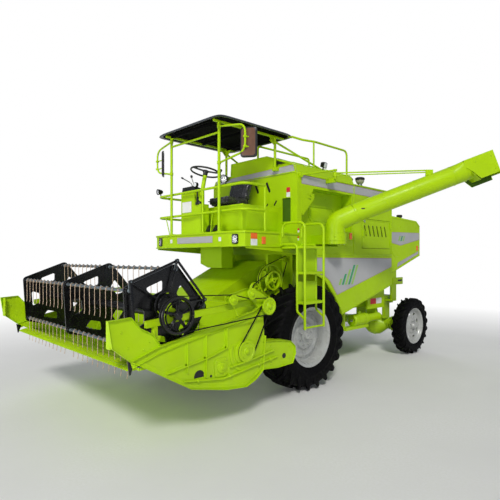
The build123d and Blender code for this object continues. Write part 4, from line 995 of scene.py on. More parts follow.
lips = Shape()
front_plan = [(1.0205, 0.0), (1.0205, -1.0155), (0.76, -1.0605)]
front_plan += [(-x, y) for x, y in reversed(front_plan)]
for low, high in ((2.096, 2.121), (1.924, 1.94)):
    lips.prism("z", strip(front_plan, 0.011), low, high, 0.003)
for x in (-1.0, -0.62, 0.62, 1.0):
    lips.bolt((x * 0.985, -1.0605 if abs(x) < 0.76 else -1.022, 2.105), (0, -1, 0), 0.008)
for x in (-0.62, 0.62):
    lips.prism("y", rectangle((x - 0.006, 1.94), (x + 0.006, 2.096)), -1.0645, -1.06, 0.001)
lips.done("deck_lips", green)

film_patch("fascia_panel", "y", rectangle((-0.39, 1.983), (0.43, 2.07)), DECK_FRONT, -1, sticker,
           0.004)
for number, x in enumerate((-0.544, 0.583)):
    film_patch(f"fascia_square_{number}", "y",
               rectangle((x - 0.026, 1.997), (x + 0.026, 2.05), 0.004), DECK_FRONT, -1, white_lens)

for number, (x, y, z, turn_degrees) in enumerate(((-0.84, -1.046, 2.02, -9.8),
        (0.87, -1.041, 2.02, 9.8))):
    turn = Matrix.Rotation(math.radians(turn_degrees), 3, "Z")
    middle = Vector((x, y, z))
    face = turn @ Vector((0, -1, 0))
    across = turn @ Vector(X_AXIS)
    outer = round_outline(rectangle((-0.047, -0.062), (0.047, 0.062)), 0.026)

    def lamp_ring(scale, out):
        return [middle + across * (a * scale) + Vector((0, 0, b * scale)) + face * out
                for a, b in outer]

    bezel, bowl, lens = Shape(), Shape(), Shape()
    bezel.loft([lamp_ring(1.0, -0.012), lamp_ring(1.0, 0.016), lamp_ring(0.93, 0.022),
                lamp_ring(0.8, 0.02), lamp_ring(0.78, 0.006), lamp_ring(0.6, -0.004)])
    bezel.done(f"headlight_bezel_{number}", black_plastic)
    bowl.loft([lamp_ring(0.6, 0.0), lamp_ring(0.76, 0.006), lamp_ring(0.77, 0.01),
               lamp_ring(0.62, 0.0055), lamp_ring(0.3, 0.0025), lamp_ring(0.05, 0.0015)])
    bowl.drum(middle + face * 0.001, middle + face * 0.011, 0.012, 18)
    bowl.done(f"headlight_bowl_{number}", chrome)
    lens.loft([lamp_ring(0.78, 0.012), lamp_ring(0.78, 0.017), lamp_ring(0.6, 0.021),
               lamp_ring(0.2, 0.023), lamp_ring(0.2, 0.019), lamp_ring(0.6, 0.016)])
    lens.done(f"headlight_lens_{number}", lamp_glass)

for hand, side in SIDES:
    at = side * DECK_SIDE
    film_patch("deck_orange_" + hand, "x", rectangle((-0.923, 2.022), (-0.815, 2.104)), at, side,
               amber)
    film_patch("deck_white_" + hand, "x", rectangle((-0.923, 1.935), (-0.815, 2.02)), at, side,
               white_lens)
    reflector("deck_reflector_" + hand, side, at, -0.7055, 2.007, 0.0335, 0.047)

# ------------------------ deck: floor, rails and fittings
floor_plate = Shape()
for row in range(14):   # raised lozenges, none under the seat box or past the deck's edge
    y = -1.005 + row * 0.062
    for column in range(22):
        x = -0.97 + column * 0.09 + (0.045 if row % 2 else 0)
        if -0.57 < x < 0.67 and y > -0.75 or x > 0.98:
            continue
        turn = Matrix.Rotation(math.radians(45 if (row + column) % 2 else -45), 4, "Z")
        floor_plate.chamfered(Vector((x, y, 2.1208)), (0.03, 0.008, 0.003), 0.001, turn)
floor_plate.done("deck_tread_plate", green)

fittings = Shape()
for x, y in ((-1.0, -0.56), (1.0, -0.66), (0.143, -1.005)):
    fittings.drum((x, y, DECK_TOP), (x, y, 2.128), 0.036, 24)
    for a in (0.6, 2.7, 4.8):
        fittings.bolt((x + 0.026 * math.cos(a), y + 0.026 * math.sin(a), 2.128), Z_AXIS, 0.006)
for x, y in ((-0.555, -1.05), (0.555, -1.05)):
    fittings.block((x - 0.045, x + 0.045), (y - 0.008, y + 0.045), (2.12, 2.13), 0.002)
for side in (1, -1):
    for y, reach in ((-1.05, 1), (-0.025, -1)):
        x = side * 0.555
        size = 0.12 if reach < 0 else 0.045
        fittings.prism("x", [(y, 3.524), (y + reach * size, 3.524), (y, 3.524 - size)], x - 0.003,
                       x + 0.003, 0.001)
        fittings.prism("y", [(x, 3.524), (x - side * size, 3.524), (x, 3.524 - size)], y - 0.003,
                       y + 0.003, 0.001)
    for z in (2.39, 2.71):
        fittings.sleeve((side * 1.0, -0.8, z), Y_AXIS, -0.022, 0.022, 0.017, 0.022, 20)
for top, foot in ((-0.78, -0.7), (0.36, 0.3)):
    fittings.tube([(top, -1.005, 2.39), (foot, -0.99, 2.13)], 0.007, 0, 10)
fittings.done("deck_fittings", green)

box_detail = Shape()
box_detail.prism("y", rectangle((-0.5, 2.16), (0.6, 2.46), 0.03), -0.744, -0.74, 0.001)
for x in (-0.46, 0.05, 0.56):
    box_detail.bolt((x, -0.744, 2.44), (0, -1, 0), 0.009)
box_detail.block((-0.565, 0.665), (-0.746, -0.735), (2.478, 2.503), 0.004)
box_detail.prism("x", rectangle((-0.68, 2.17), (-0.08, 2.45), 0.03), 0.66, 0.664, 0.001)
box_detail.done("seat_box_panels", green)

# ------------------------ canopy shell
def canopy_ring(shrink, z):
    """A round-cornered rectangle at a height, this much smaller than the roof's outline."""
    half_x, half_y = 0.745 - shrink, 0.7 - shrink
    points = []
    for t in turns(72, math.pi / 72):
        c, s = math.cos(t), math.sin(t)
        points.append(Vector((half_x * math.copysign(abs(c) ** 0.15, c),
                              -0.495 + half_y * math.copysign(abs(s) ** 0.15, s), z)))
    return points


# the roof's top, in the blue-tinted grey that carries a painted sky sheen
shell = Shape()
shell.loft([canopy_ring(s, z) for s, z in ((0.42, 3.598), (0.24, 3.594), (0.13, 3.582),
    (0.07, 3.566), (0.04, 3.552), (0.018, 3.5445), (0.004, 3.543), (0.0, 3.547), (0.005, 3.56),
    (0.022, 3.576), (0.06, 3.59), (0.095, 3.601), (0.16, 3.611), (0.3, 3.617), (0.45, 3.62))])
for x in (-0.3, 0.3):
    shell.loft([[Vector((x + dx, y, z)) for dx, z in ((-0.05, 3.604), (-0.03, low), (0.03, low),
        (0.05, 3.604))] for y, low in ((-1.02, 3.606), (-0.94, 3.6185), (-0.05, 3.6185),
                                       (0.03, 3.606))])
shell.done("canopy_shell", slate_painted_sheen, "chassis", ["canopy_roof"])
# the roof's underside and its beams in the near-black matte copy: painted shade under the roof
underside_shade = Shape()
underside_shade.loft([canopy_ring(s, z) for s, z in ((0.6, 3.5958), (0.42, 3.5955), (0.244, 3.5918),
    (0.134, 3.58), (0.074, 3.5645), (0.044, 3.5505), (0.043, 3.5515), (0.0735, 3.5658),
    (0.1335, 3.5812), (0.2435, 3.593), (0.42, 3.5968), (0.6, 3.5972))])
for y in (-1.05, -0.5, -0.025):
    underside_shade.block((-0.553, 0.553), (y - 0.018, y + 0.018), (3.524, 3.56), 0.003)
underside_shade.done("canopy_underside_shade", painted_shade_lining)

canopy_tubes = Shape()
for side, foot in ((1, (0.7, 0.86, 3.175)), (-1, (-0.555, 0.8, 3.1))):
    x = side * POST_X
    canopy_tubes.tube([(x, POST_Y, DECK_TOP), (x, POST_Y, 3.55)], 0.019, 0, 20)
    canopy_tubes.tube([(x, -0.025, 3.045), (x, -0.025, 3.55)], 0.019, 0, 20)
    canopy_tubes.tube([(x, -0.025, 3.47), foot], 0.0155, 0, 16)
    canopy_tubes.block((foot[0] - 0.035, foot[0] + 0.035), (foot[1] - 0.03, foot[1] + 0.03),
                       (foot[2] - 0.03, foot[2]), 0.004)
    canopy_tubes.block((x - 0.017, x + 0.017), (-1.14, 0.15), (3.524, 3.552), 0.003)
    canopy_tubes.block((x - 0.04, x + 0.04), (-0.048, 0.02), (3.045, 3.102), 0.004)
canopy_tubes.tube([(-POST_X, POST_Y, 3.4), (POST_X, POST_Y, 3.4)], 0.014, 0, 16)
canopy_tubes.done("canopy_tubes", green, "chassis", ["canopy_frame"])

rails = Shape()
rails.tube([(0.722, 0.15, 3.548), (0.79, 0.32, 3.52), (0.85, 0.52, 3.52), (0.85, 1.34, 3.52),
            (0.85, 1.34, 3.06)], 0.016, 0.09, 16)
rails.block((0.69, 0.735), (0.11, 0.175), (3.533, 3.548), 0.003)
rails.tube([(0.85, 0.5, 3.075), (0.85, 0.5, 3.52)], 0.013, 0, 14)
rails.tube([(0.05, 0.11, 3.275), (0.05, 0.11, 3.52), (0.05, 1.34, 3.52), (0.05, 1.34, 3.275)],
           0.016, 0.06, 16)
rails.tube([(0.05, 0.5, 3.275), (0.05, 0.5, 3.52)], 0.013, 0, 14)
for x, y, z in ((0.85, 0.5, 3.095), (0.85, 1.34, 3.095), (0.05, 0.11, 3.3),
                (0.05, 0.5, 3.3), (0.05, 1.34, 3.3)):
    rails.sleeve((x, y, z), Z_AXIS, 0.0, 0.008, 0.012, 0.032, 24)
rails.done("tank_rails", green, "chassis", ["tank_railing"])

# ------------------------ mirrors
bows, backs, panels, glasses = Shape(), Shape(), Shape(), Shape()
for side, reach, glass_x, glass_y in ((1, 1.06, 1.076, -1.0), (-1, 0.945, 0.815, -1.04)):
    bows.tube([(side * x, POST_Y, z) for x, z in (
        (0.574, 3.474), (reach, 3.4), (reach, 3.075), (0.574, 3.008))], 0.013, 0.13, 14)
    for z in (3.13, 3.25):
        bows.drum((side * reach, POST_Y, z), (side * glass_x, glass_y - 0.005, z), 0.008, 12)
        bows.block((side * reach - 0.018, side * reach + 0.018), (-1.07, -1.032),
                   (z - 0.013, z + 0.013), 0.003)
    for z in (3.474, 3.008):
        bows.sleeve((side * POST_X, POST_Y, z), Z_AXIS, -0.018, 0.018, 0.0195, 0.026, 24)
    turn = Matrix.Rotation(math.radians(side * 33), 3, "Z")
    middle = Vector((side * (glass_x - 0.01), glass_y, 3.19))
    outer = round_outline(rectangle((-0.105, -0.185), (0.105, 0.185)), 0.045)

    def mirror_ring(scale_x, scale_z, y):
        return [middle + turn @ Vector((a * scale_x, y, b * scale_z)) for a, b in outer]

    backs.loft([mirror_ring(0.5, 0.7, -0.016), mirror_ring(0.86, 0.92, -0.0145),
                mirror_ring(0.97, 0.98, -0.007), mirror_ring(1.0, 1.0, 0.004),
                mirror_ring(1.0, 1.0, 0.016), mirror_ring(0.93, 0.955, 0.016),
                mirror_ring(0.93, 0.955, 0.01)])
    glasses.loft([mirror_ring(0.925, 0.95, 0.009), mirror_ring(0.925, 0.95, 0.0125)])
    panels.loft([mirror_ring(0.7, 0.84, -0.0175), mirror_ring(0.82, 0.9, -0.016),
                 mirror_ring(0.82, 0.9, -0.012)])
bows.done("mirror_bows", green, "chassis", ["mirrors"])
backs.done("mirror_backs", black_plastic)
panels.done("mirror_back_panels", brown_plastic)
glasses.done("mirror_glasses", mirror_glass)

# ------------------------ steering wheel and console
lean = Matrix.Rotation(math.radians(-12), 4, "X")
hub = Vector((0, -0.85, 2.99))
axis = lean @ Vector(Z_AXIS)
wheel = Shape()
wheel.lathe([(0.0125 * math.sin(t), 0.205 + 0.0125 * math.cos(t)) for t in turns(14)], hub, axis,
            72, True)
for degrees in (-90, 30, 150):
    rings = []
    for along, wide, lift in ((0.025, 0.03, 0.01), (0.075, 0.022, 0.004), (0.14, 0.02, -0.002),
                              (0.203, 0.028, -0.001)):
        spoke_turn = lean @ Matrix.Rotation(math.radians(degrees), 4, "Z")
        out, up = spoke_turn @ Vector((along, 0, lift)), axis * 0.006
        across = spoke_turn @ Vector((0, wide, 0))
        rings.append([hub + out - across - up, hub + out + across - up, hub + out + across + up,
                      hub + out - across + up])
    wheel.loft(rings)
wheel.lathe([(-0.055, 0.0), (-0.055, 0.03), (-0.01, 0.034), (0.004, 0.044), (0.018, 0.044),
             (0.024, 0.034), (0.026, 0.0)], hub, axis, 36)
knob = hub + lean @ Vector((0.145, 0.145, 0.0))
wheel.drum(knob, knob + axis * 0.045, 0.009, 14)
wheel.lathe([(0.036, 0.0), (0.04, 0.018), (0.055, 0.022), (0.07, 0.018), (0.076, 0.0)], knob, axis,
            20)
wheel.done("steering_wheel_rim", black_plastic, "steering_wheel", ["steering_wheel"], 50)

film_patch("console_plate", "y", rectangle((-0.414, 2.431), (-0.186, 2.586), 0.006), -0.96, -1,
           white_film, 0.003)
DIAL_FACE = Vector((0, 0.24, 0.97)).normalized()
DIAL_X = (-0.36, -0.275, -0.19)
console = Shape()
console.prism("x", [(-0.955, 2.741), (-0.8, 2.741), (-0.8, 2.765), (-0.945, 2.805)], -0.432, -0.118,
              0.006)
for x in DIAL_X:
    place = Vector((x, -0.862, 2.781))
    console.drum(place, place + DIAL_FACE * 0.008, 0.034, 28)
for x in (-0.308, -0.27):
    console.drum((x, -0.825, 2.762), (x, -0.825, 2.785), 0.022, 18)
console.drum((-0.095, -0.925, 2.81), (-0.095, -0.965, 2.81), 0.036, 28, 0.006)
console.drum((-0.095, -0.925, 2.775), (-0.095, -0.925, 2.53), 0.01, 14)
boot = [(-0.02, 0.045), (0.0, 0.058), (0.03, 0.05), (0.06, 0.034), (0.1, 0.03), (0.1, 0.0)]
console.lathe(boot, (-0.02, -0.944, 2.53), axis, 28)
console.done("console_panel", black_plastic)
dials = Shape()
for x in DIAL_X:
    place = Vector((x, -0.862, 2.781)) + DIAL_FACE * 0.0078
    dials.drum(place, place + DIAL_FACE * 0.0012, 0.028, 28, 0.0003)
dials.drum((-0.095, -0.964, 2.81), (-0.095, -0.9665, 2.81), 0.029, 28, 0.0005)
dials.done("console_dials", white_lens)
levers = Shape()
levers.tube([(-0.308, -0.825, 2.76), (-0.308, -0.88, 2.867), (-0.494, -0.9, 2.957)], 0.008, 0.04,
            12)
levers.tube([(-0.27, -0.825, 2.76), (-0.27, -0.9, 2.94)], 0.007, 0, 12)
levers.done("console_levers", bare_steel)
knobs = Shape()
knobs.lathe([(-0.022, 0.0), (-0.02, 0.012), (0.0, 0.019), (0.016, 0.014), (0.022, 0.0)],
            (-0.27, -0.9, 2.956), (0, -0.2, 1), 20)
knobs.lathe([(-0.03, 0.0), (-0.028, 0.01), (0.0, 0.014), (0.022, 0.012), (0.028, 0.0)],
            (-0.5, -0.9, 2.96), (-1, 0, 0.45), 20)
for x in (0.14, 0.3):
    knobs.prism("x", [(-0.93, 2.15), (-0.88, 2.235), (-0.868, 2.228), (-0.915, 2.142)], x - 0.045,
                x + 0.045, 0.003)
knobs.done("knobs_and_pedals", black_plastic)
pedal_arms = Shape()
for x in (0.14, 0.3):
    pedal_arms.tube([(x, -0.895, 2.19), (x, -0.84, 2.13), (x, -0.78, 2.126)], 0.008, 0.03, 10)
pedal_arms.done("pedal_arms", bat_steel)


def work_lamp(name, place, face, radius):
    """A round work lamp in a black can on a short bracket."""
    place, face = Vector(place), Vector(face).normalized()
    can, bowl, lens = Shape(), Shape(), Shape()
    can.lathe([(-0.06, 0.0), (-0.06, radius * 0.45), (-0.045, radius * 0.75), (-0.01, radius),
               (0.018, radius * 1.08), (0.024, radius * 1.08), (0.024, radius * 0.96),
               (0.01, radius * 0.94)], place, face, 32)
    stem = place - face * 0.03
    can.tube([stem, stem - Vector((0, 0, radius + 0.03))], 0.008, 0, 10)
    can.done(name + "_can", black_plastic)
    bowl.lathe([(0.01, radius * 0.93), (-0.02, radius * 0.6), (-0.026, 0.0)], place, face, 32)
    bowl.lathe([(-0.024, 0.0), (-0.01, 0.01), (0.004, 0.0)], place, face, 16)
    bowl.done(name + "_bowl", chrome)
    lens.lathe([(0.012, 0.0), (0.012, radius * 0.95), (0.018, radius * 0.95), (0.024, radius * 0.6),
                (0.027, 0.0)], place, face, 32)
    lens.done(name + "_lens", lamp_glass)


work_lamp("rail_lamp", (0.615, -1.01, 2.795), (0.25, -1, -0.1), 0.052)
work_lamp("rail_lamp_right", (-0.985, -1.0, 2.795), (-0.1, -1, -0.1), 0.04)


def square_lamp(name, place, face, half):
    """A square work lamp: a rounded black housing and a flat glass, on a short stem."""
    place, face = Vector(place), Vector(face).normalized()
    across = face.cross(Vector(Z_AXIS)).normalized()
    up = across.cross(face)
    outer = round_outline(rectangle((-half, -half * 0.85), (half, half * 0.85)), half * 0.3)

    def ring(scale, out):
        return [place + across * (a * scale) + up * (b * scale) + face * out for a, b in outer]

    housing, glass = Shape(), Shape()
    housing.loft([ring(0.45, -half * 1.1), ring(0.8, -half * 0.95), ring(0.98, -half * 0.3),
                  ring(1.0, half * 0.3), ring(0.9, half * 0.36), ring(0.86, half * 0.2)])
    stem = place - face * half * 0.5
    housing.tube([stem, stem - Vector((0, 0, half * 2.0))], 0.009, 0, 12)
    housing.done(name + "_can", black_plastic)
    glass.loft([ring(0.86, half * 0.16), ring(0.86, half * 0.3), ring(0.6, half * 0.34)])
    glass.done(name + "_lens", white_lens, slot="lamp_glass")


square_lamp("tank_lamp", (0.85, 0.76, 3.205), (0.95, 0.2, -0.22), 0.052)

# ------------------------ ladder treads
treads = Shape()
for z in (1.21, 1.59, 1.92):
    for number in range(9):
        x = 1.3 + 0.016 * number
        treads.prism("z", rectangle((x - 0.003, -0.365), (x + 0.003, -0.015)), z + 0.014, z + 0.019,
                     0.001)
    for y in (-0.372, -0.008):
        treads.bolt((1.372, y, z - 0.002), (0, -1 if y < -0.1 else 1, 0), 0.008)
treads.done("ladder_tread_ribs", green)
for number, z in enumerate((2.165, 2.055)):
    film_patch(f"ladder_mark_red_{number}", "x", rectangle((-0.055, z), (-0.02, z + 0.028)),
               DECK_SIDE, 1, red_film)
    film_patch(f"ladder_mark_white_{number}", "x", rectangle((-0.055, z - 0.03), (-0.02, z)),
               DECK_SIDE, 1, white_film)

# ------------------------ driver's seat
CLOTH_FRAMES = 20


def applied(thing):
    """The object's mesh with its modifiers applied, which are then taken off."""
    seen = thing.evaluated_get(bpy.context.evaluated_depsgraph_get())
    mesh = bpy.data.meshes.new_from_object(seen)
    thing.modifiers.clear()
    return mesh


def soft_pad(name, middle, size, lean_degrees, seams, replaces=()):
    """A cushion: a crowned box swollen by a pressure simulation, with sewn seams; its piping is
    made separately.
    """
    middle = Vector(middle)
    bm = bmesh.new()
    bmesh.ops.create_cube(bm, size=1)
    bmesh.ops.subdivide_edges(bm, edges=bm.edges[:], cuts=14, use_grid_fill=True)
    for v in bm.verts:
        x, y, z = v.co * 2
        # sides pulled in between the corners, a crown on top, and the corners rounded off
        pull = 1 - 0.045 * (1 - abs(x) ** 2) * (abs(y) > 0.99)
        pull -= 0.045 * (1 - abs(y) ** 2) * (abs(x) > 0.99)
        crown = 1 + 0.16 * (1 - x * x) * (1 - y * y) if z > 0 else 1
        corner = 1 - 0.06 * (abs(x) ** 8) * (abs(y) ** 8)
        v.co = Vector((x * size[0] / 2 * pull * corner, y * size[1] / 2 * pull * corner,
                       z * size[2] / 2 * crown * 0.86))
    mesh = bpy.data.meshes.new(name)
    bm.to_mesh(mesh)
    bm.free()
    pad = linked(name, mesh)
    remesh = pad.modifiers.new("remesh", "REMESH")
    remesh.mode, remesh.voxel_size = "VOXEL", 0.009
    cloth = pad.modifiers.new("cloth", "CLOTH")
    settings = cloth.settings
    settings.use_pressure, settings.uniform_pressure_force = True, 3.0
    settings.effector_weights.gravity = 0.0
    settings.tension_stiffness, settings.bending_stiffness = 30.0, 2.0
    cloth.point_cache.frame_end = CLOTH_FRAMES
    for frame_number in range(1, CLOTH_FRAMES + 1):
        bpy.context.scene.frame_set(frame_number)
    pad.data = applied(pad)
    bpy.context.scene.frame_set(1)
    lean_turn = Matrix.Rotation(math.radians(lean_degrees), 4, "X")
    for v in pad.data.vertices:
        x, _, z = v.co
        v.co = Vector([max(-full / 2, min(full / 2, value)) for value, full in zip(v.co, size)])
        if z > 0:
            v.co.z -= 0.006 * sum(math.exp(-((x - seam) / 0.006) ** 2) for seam in seams)
        v.co = lean_turn @ v.co + middle + ORIGIN
    smooth = pad.modifiers.new("smooth", "SUBSURF")
    smooth.levels = smooth.render_levels = 1
    pad.data = applied(pad)
    pad.data.shade_smooth()
    pad.data.materials.append(seat_vinyl)
    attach(pad, "chassis")
    if replaces:
        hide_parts(*replaces)


soft_pad("seat_cushion", (-0.045, -0.405, 2.618), (0.455, 0.42, 0.1), 0, (-0.115, 0.115),
         ["driver_seat"])
soft_pad("seat_backrest", (-0.045, -0.172, 2.79), (0.445, 0.29, 0.095), 74, (-0.115, 0.115))
seat_base = Shape()
seat_base.block((-0.205, 0.115), (-0.54, -0.26), (2.5, 2.512), 0.003)
seat_base.block((-0.235, 0.145), (-0.57, -0.23), (2.552, 2.566), 0.003)
for x in (-0.19, 0.1):
    for y in (-0.53, -0.27):
        seat_base.drum((x, y, 2.512), (x, y, 2.552), 0.018, 20)
for x in (-0.2, 0.11):
    seat_base.tube([(x, -0.235, 2.56), (x, -0.165, 2.6), (x, -0.135, 2.9)], 0.011, 0.03, 12)
seat_base.done("seat_frame", black)
piping = Shape()
ring = round_outline(rectangle((-0.228, -0.21), (0.228, 0.21)), 0.03)
piping.tube([(x - 0.045, y - 0.405, 2.6185) for x, y in ring], 0.0045, 0, 8, True)
back_turn = Matrix.Rotation(math.radians(74), 4, "X")
ring = round_outline(rectangle((-0.222, -0.145), (0.222, 0.145)), 0.03)
piping.tube([back_turn @ Vector((x, y, 0)) + Vector((-0.045, -0.172, 2.79)) for x, y in ring],
            0.004, 0, 8, True)
piping.done("seat_piping", seat_vinyl)


# ------------------------ body: stripes and stickers
def slanted_bars(name, at, out, y, z, heights, colours):
    """A plain motif of slanted bars on a side wall."""
    for number, (height, look) in enumerate(zip(heights, colours)):
        start = y + number * 0.085
        bar = [(start, z), (start + 0.05, z), (start + 0.05 + height * 0.5, z + height),
               (start + height * 0.5, z + height)]
        film_patch(f"{name}_{number}", "x", bar, at, out, look)


for hand, side in SIDES:
    wall = side * SIDE_WALL
    film_patch("side_sticker_" + hand, "x",
               [(0.43, 1.788), (2.59, 1.778), (2.59, 1.622), (0.943, 1.21), (0.765, 1.433),
                (0.643, 1.513), (0.45, 1.56)], wall, side, sticker, 0.009)
    slanted_bars("side_bars_" + hand, wall + side * 0.0018, side, 0.98, 1.36,
                 (0.1, 0.17, 0.24, 0.31, 0.31),
                 (leaf_film, deep_leaf_film, leaf_film, deep_leaf_film, leaf_film))
    film_patch("tank_stripe_side_" + hand, "x",
               [(0.11, 2.835), (2.585, 2.815), (2.585, 2.945), (0.11, 2.96)], wall, side, sticker,
               0.007)
    hood_wall = side * HOOD_WALL
    film_patch("hood_stripe_" + hand, "x",
               [(2.615, 2.268), (4.08, 2.305), (4.08, 2.165), (3.289, 2.026), (2.977, 2.069),
                (2.615, 2.075)], hood_wall, side, sticker, 0.007)
    slanted_bars("hood_bars_" + hand, hood_wall + side * 0.0018, side, 3.2, 2.115, (0.1, 0.1, 0.1),
                 (leaf_film, deep_leaf_film, leaf_film))
    film_patch("hood_lower_stripe_" + hand, "x",
               [(3.156, 1.602), (4.04, 1.868), (4.04, 1.925), (3.19, 1.69)], hood_wall, side,
               sticker, 0.005)
    if hand == "left":
        reflector("side_reflector_0_left", side, wall, 1.306, 2.133, 0.034, 0.05)
    reflector("side_reflector_1_" + hand, side, hood_wall, 3.985, 1.985, 0.034, 0.05)
    film_patch("shoe_plate_" + hand, "x", rectangle((2.15, 0.96), (2.335, 1.06), 0.01),
               side * 0.785, side, red_film)
    film_patch("shoe_plate_white_" + hand, "x", rectangle((2.34, 0.96), (2.52, 1.06), 0.01),
               side * 0.785, side, white_film)

film_patch("tank_front_stripe", "y", [(-0.87, 2.98), (0.942, 2.992), (0.905, 3.104), (-0.87, 3.06)],
           TANK_FRONT, -1, sticker, 0.006)
# a black triangle: painted shade in the gap beside the tank's lid
film_patch("tank_front_opening", "y", [(0.545, 3.205), (0.548, 3.14), (0.735, 3.138)], 0.006, -1,
           black_plastic)
film_patch("tank_mark_red", "y", rectangle((0.742, 2.722), (0.812, 2.791)), TANK_FRONT, -1,
           red_film)
film_patch("tank_mark_white", "y", rectangle((0.742, 2.651), (0.812, 2.72)), TANK_FRONT, -1,
           white_film)

# ------------------------ body: slots and louvres
def slot_plate(shape, axis, start, end, width, at, out):
    """A thin rounded patch from start to end on a flat wall; made black, it is painted shade in
    place of a slot.
    """
    run = (Vector(end) - Vector(start)).normalized()
    side_way = Vector((-run.y, run.x)) * width / 2
    outline_points = [tuple(Vector(p) + s) for p, s in (
        (start, side_way), (start, -side_way), (end, -side_way), (end, side_way))]
    shape.prism(axis, round_outline(outline_points, width * 0.45), *outward(at, out, 0.0012), 0)


# black patches on the tank's front: painted shade in place of its slots
slots = Shape()
for start, end, width in (((0.092, 2.902), (0.156, 2.765), 0.04),
                          ((0.333, 2.91), (0.405, 2.757), 0.04),
                          ((0.544, 2.622), (0.494, 2.553), 0.026),
                          ((0.468, 2.516), (0.339, 2.332), 0.026),
                          ((0.283, 2.316), (0.231, 2.227), 0.026),
                          ((0.363, 2.59), (0.17, 2.348), 0.022)):
    slot_plate(slots, "y", start, end, width, TANK_FRONT, -1)
slots.done("tank_front_slots", black_plastic)


def louvre_row(name, body, side, ys, low_z, high_z, lean):
    """Pressed louvres on a side wall: a black patch in each mouth, painted shade of the opening,
    beside a raised green lip.
    """
    wall = side * SIDE_WALL
    mouths, hoods = Shape(), Shape()
    for y in ys:
        slot_plate(mouths, "x", (y, high_z), (y + lean, low_z), 0.03, wall, side)
        rings = []
        for share, lift, wide in ((0.0, 0.0, 0.01), (0.08, 0.012, 0.02), (0.92, 0.012, 0.02),
                                  (1.0, 0.0, 0.01)):
            cy, cz = y + lean * share + 0.017, high_z + (low_z - high_z) * share
            rings.append([(wall - side * 0.002, cy - 0.012, cz),
                          (wall + side * lift, cy - 0.01, cz),
                          (wall + side * lift * 0.5, cy + wide * 0.5, cz),
                          (wall - side * 0.002, cy + wide, cz)])
        hoods.loft(rings)
    mouths.done(name + "_mouths", black_plastic, body)
    hoods.done(name + "_lips", green, body)


door_louvres = [1.705 + 0.128 * k for k in range(6)]
louvre_row("door_louvres", "engine_door", 1, door_louvres, 2.15, 2.335, 0.06)
louvre_row("bay_louvres_left", "chassis", 1, [1.56, 1.64, 1.72], 2.6, 2.66, 0.02)
louvre_row("bay_louvres_right", "chassis", -1, [1.62 + 0.128 * k for k in range(7)], 2.15, 2.34,
           0.06)
louvre_row("bay_vents_right", "chassis", -1, [1.7 + 0.11 * k for k in range(7)], 2.56, 2.69, 0.03)

folds = Shape()
for hand, side in SIDES:
    wall = side * SIDE_WALL
    # rolled edge over the stripe, the floor's seam, the lower edge and the bay's two upright joints
    folds.prism("y", [(wall - side * 0.004, 2.962), (wall + side * 0.01, 2.962),
                      (wall + side * 0.01, 2.98), (wall - side * 0.012, 2.99)], 0.02, 2.598, 0.003)
    low, high = outward(wall, side, 0.007, 0.002)
    folds.prism("x", rectangle((0.11, 1.822), (2.598, 1.846)), low, high, 0.003)
    folds.prism("x",
                strip([(2.598, 1.31), (1.078, 0.903), (1.055, 0.955), (0.897, 1.185),
                       (0.645, 1.458)], -0.014), low, high, 0.003)
    for start, end in ((1.392, 1.41), (2.578, 2.598)):
        folds.prism("x", rectangle((start, 1.846), (end, 2.962)), low, high, 0.002)
    for z in (2.06, 2.36, 2.66, 2.9):
        for y in (1.372, 2.56):
            folds.bolt((wall + side * 0.001, y, z), (side, 0, 0), 0.01)
    for y in (0.6, 1.2, 1.8, 2.4):
        folds.bolt((wall + side * 0.001, y, 1.805), (side, 0, 0), 0.009)
    hood_wall = side * HOOD_WALL
    low, high = outward(hood_wall, side, 0.006, 0.002)
    top = [(2.602, 2.596), (3.948, 2.541), (4.098, 2.447), (4.098, 1.833), (3.082, 1.534),
           (2.602, 1.404)]
    folds.prism("x", strip(top[:3], -0.034), low, high, 0.003)
    folds.prism("x", strip(top[3:], -0.02), low, high, 0.003)
    folds.prism("x", [(2.602, 1.91), (2.96, 1.91), (3.06, 1.8), (3.2, 1.8), (3.2, 1.815),
                      (3.07, 1.815), (2.97, 1.925), (2.602, 1.925)], low, high, 0.002)
    for y in (2.66, 3.3, 3.9):
        folds.bolt((hood_wall + side * 0.001, y, 2.4), (side, 0, 0), 0.01)
folds.prism("z", rectangle((-0.735, 3.3), (0.735, 3.325)), 2.56, 2.5775, 0.003)
front_fold = [(0.955 * x, z) for x, z in rectangle((-0.9, 2.992), (0.965, 3.006))]
folds.prism("y", front_fold, 0.008, 0.02, 0.002)
folds.prism("y", strip([(0.945, 2.974), (0.9, 3.11), (0.35, 3.3), (-0.475, 3.3), (-0.49, 3.112)],
                       0.02), 0.006, 0.02, 0.003)
folds.prism("y", rectangle((-0.9, 2.3), (0.62, 2.322)), 0.01, 0.02, 0.003)
folds.prism("x", rectangle((1.105, 1.975), (1.35, 2.06), 0.01), 0.949, 0.955, 0.002)
folds.done("body_folds", green)

recess = Shape()
# gusset bracket over the recess's front corner, the window panel inside it and its pressing
plate(recess, "x", round_outline([(0.12, 2.74), (0.384, 2.712), (0.384, 2.64), (0.125, 2.378)],
                                 0.012),
      [round_outline([(0.205, 2.695), (0.33, 2.682), (0.333, 2.664), (0.208, 2.676)], 0.008),
       round_outline([(0.205, 2.65), (0.318, 2.638), (0.321, 2.62), (0.208, 2.63)], 0.008)], 0.946,
      0.954)
flange(recess, "x",
       round_outline([(0.47, 2.58), (1.05, 2.58), (1.18, 2.4), (1.18, 2.3), (0.56, 2.3),
                      (0.47, 2.42)], 0.03), 0.018, 0.764, 0.775)
recess.prism("x",
             round_outline([(0.52, 2.54), (1.02, 2.54), (1.12, 2.4), (1.12, 2.34), (0.6, 2.34),
                            (0.52, 2.44)], 0.02), 0.764, 0.77, 0.003)
for y, z in ((0.5, 2.7), (0.9, 2.7), (1.28, 2.6), (1.28, 2.3)):
    recess.bolt((0.766, y, z), X_AXIS, 0.01)
recess.prism("x", strip([(0.38, 2.79), (1.33, 2.79), (1.33, 2.2), (0.962, 2.2)], 0.02), 0.948,
             0.957, 0.003)
recess.done("recess_panels", green)

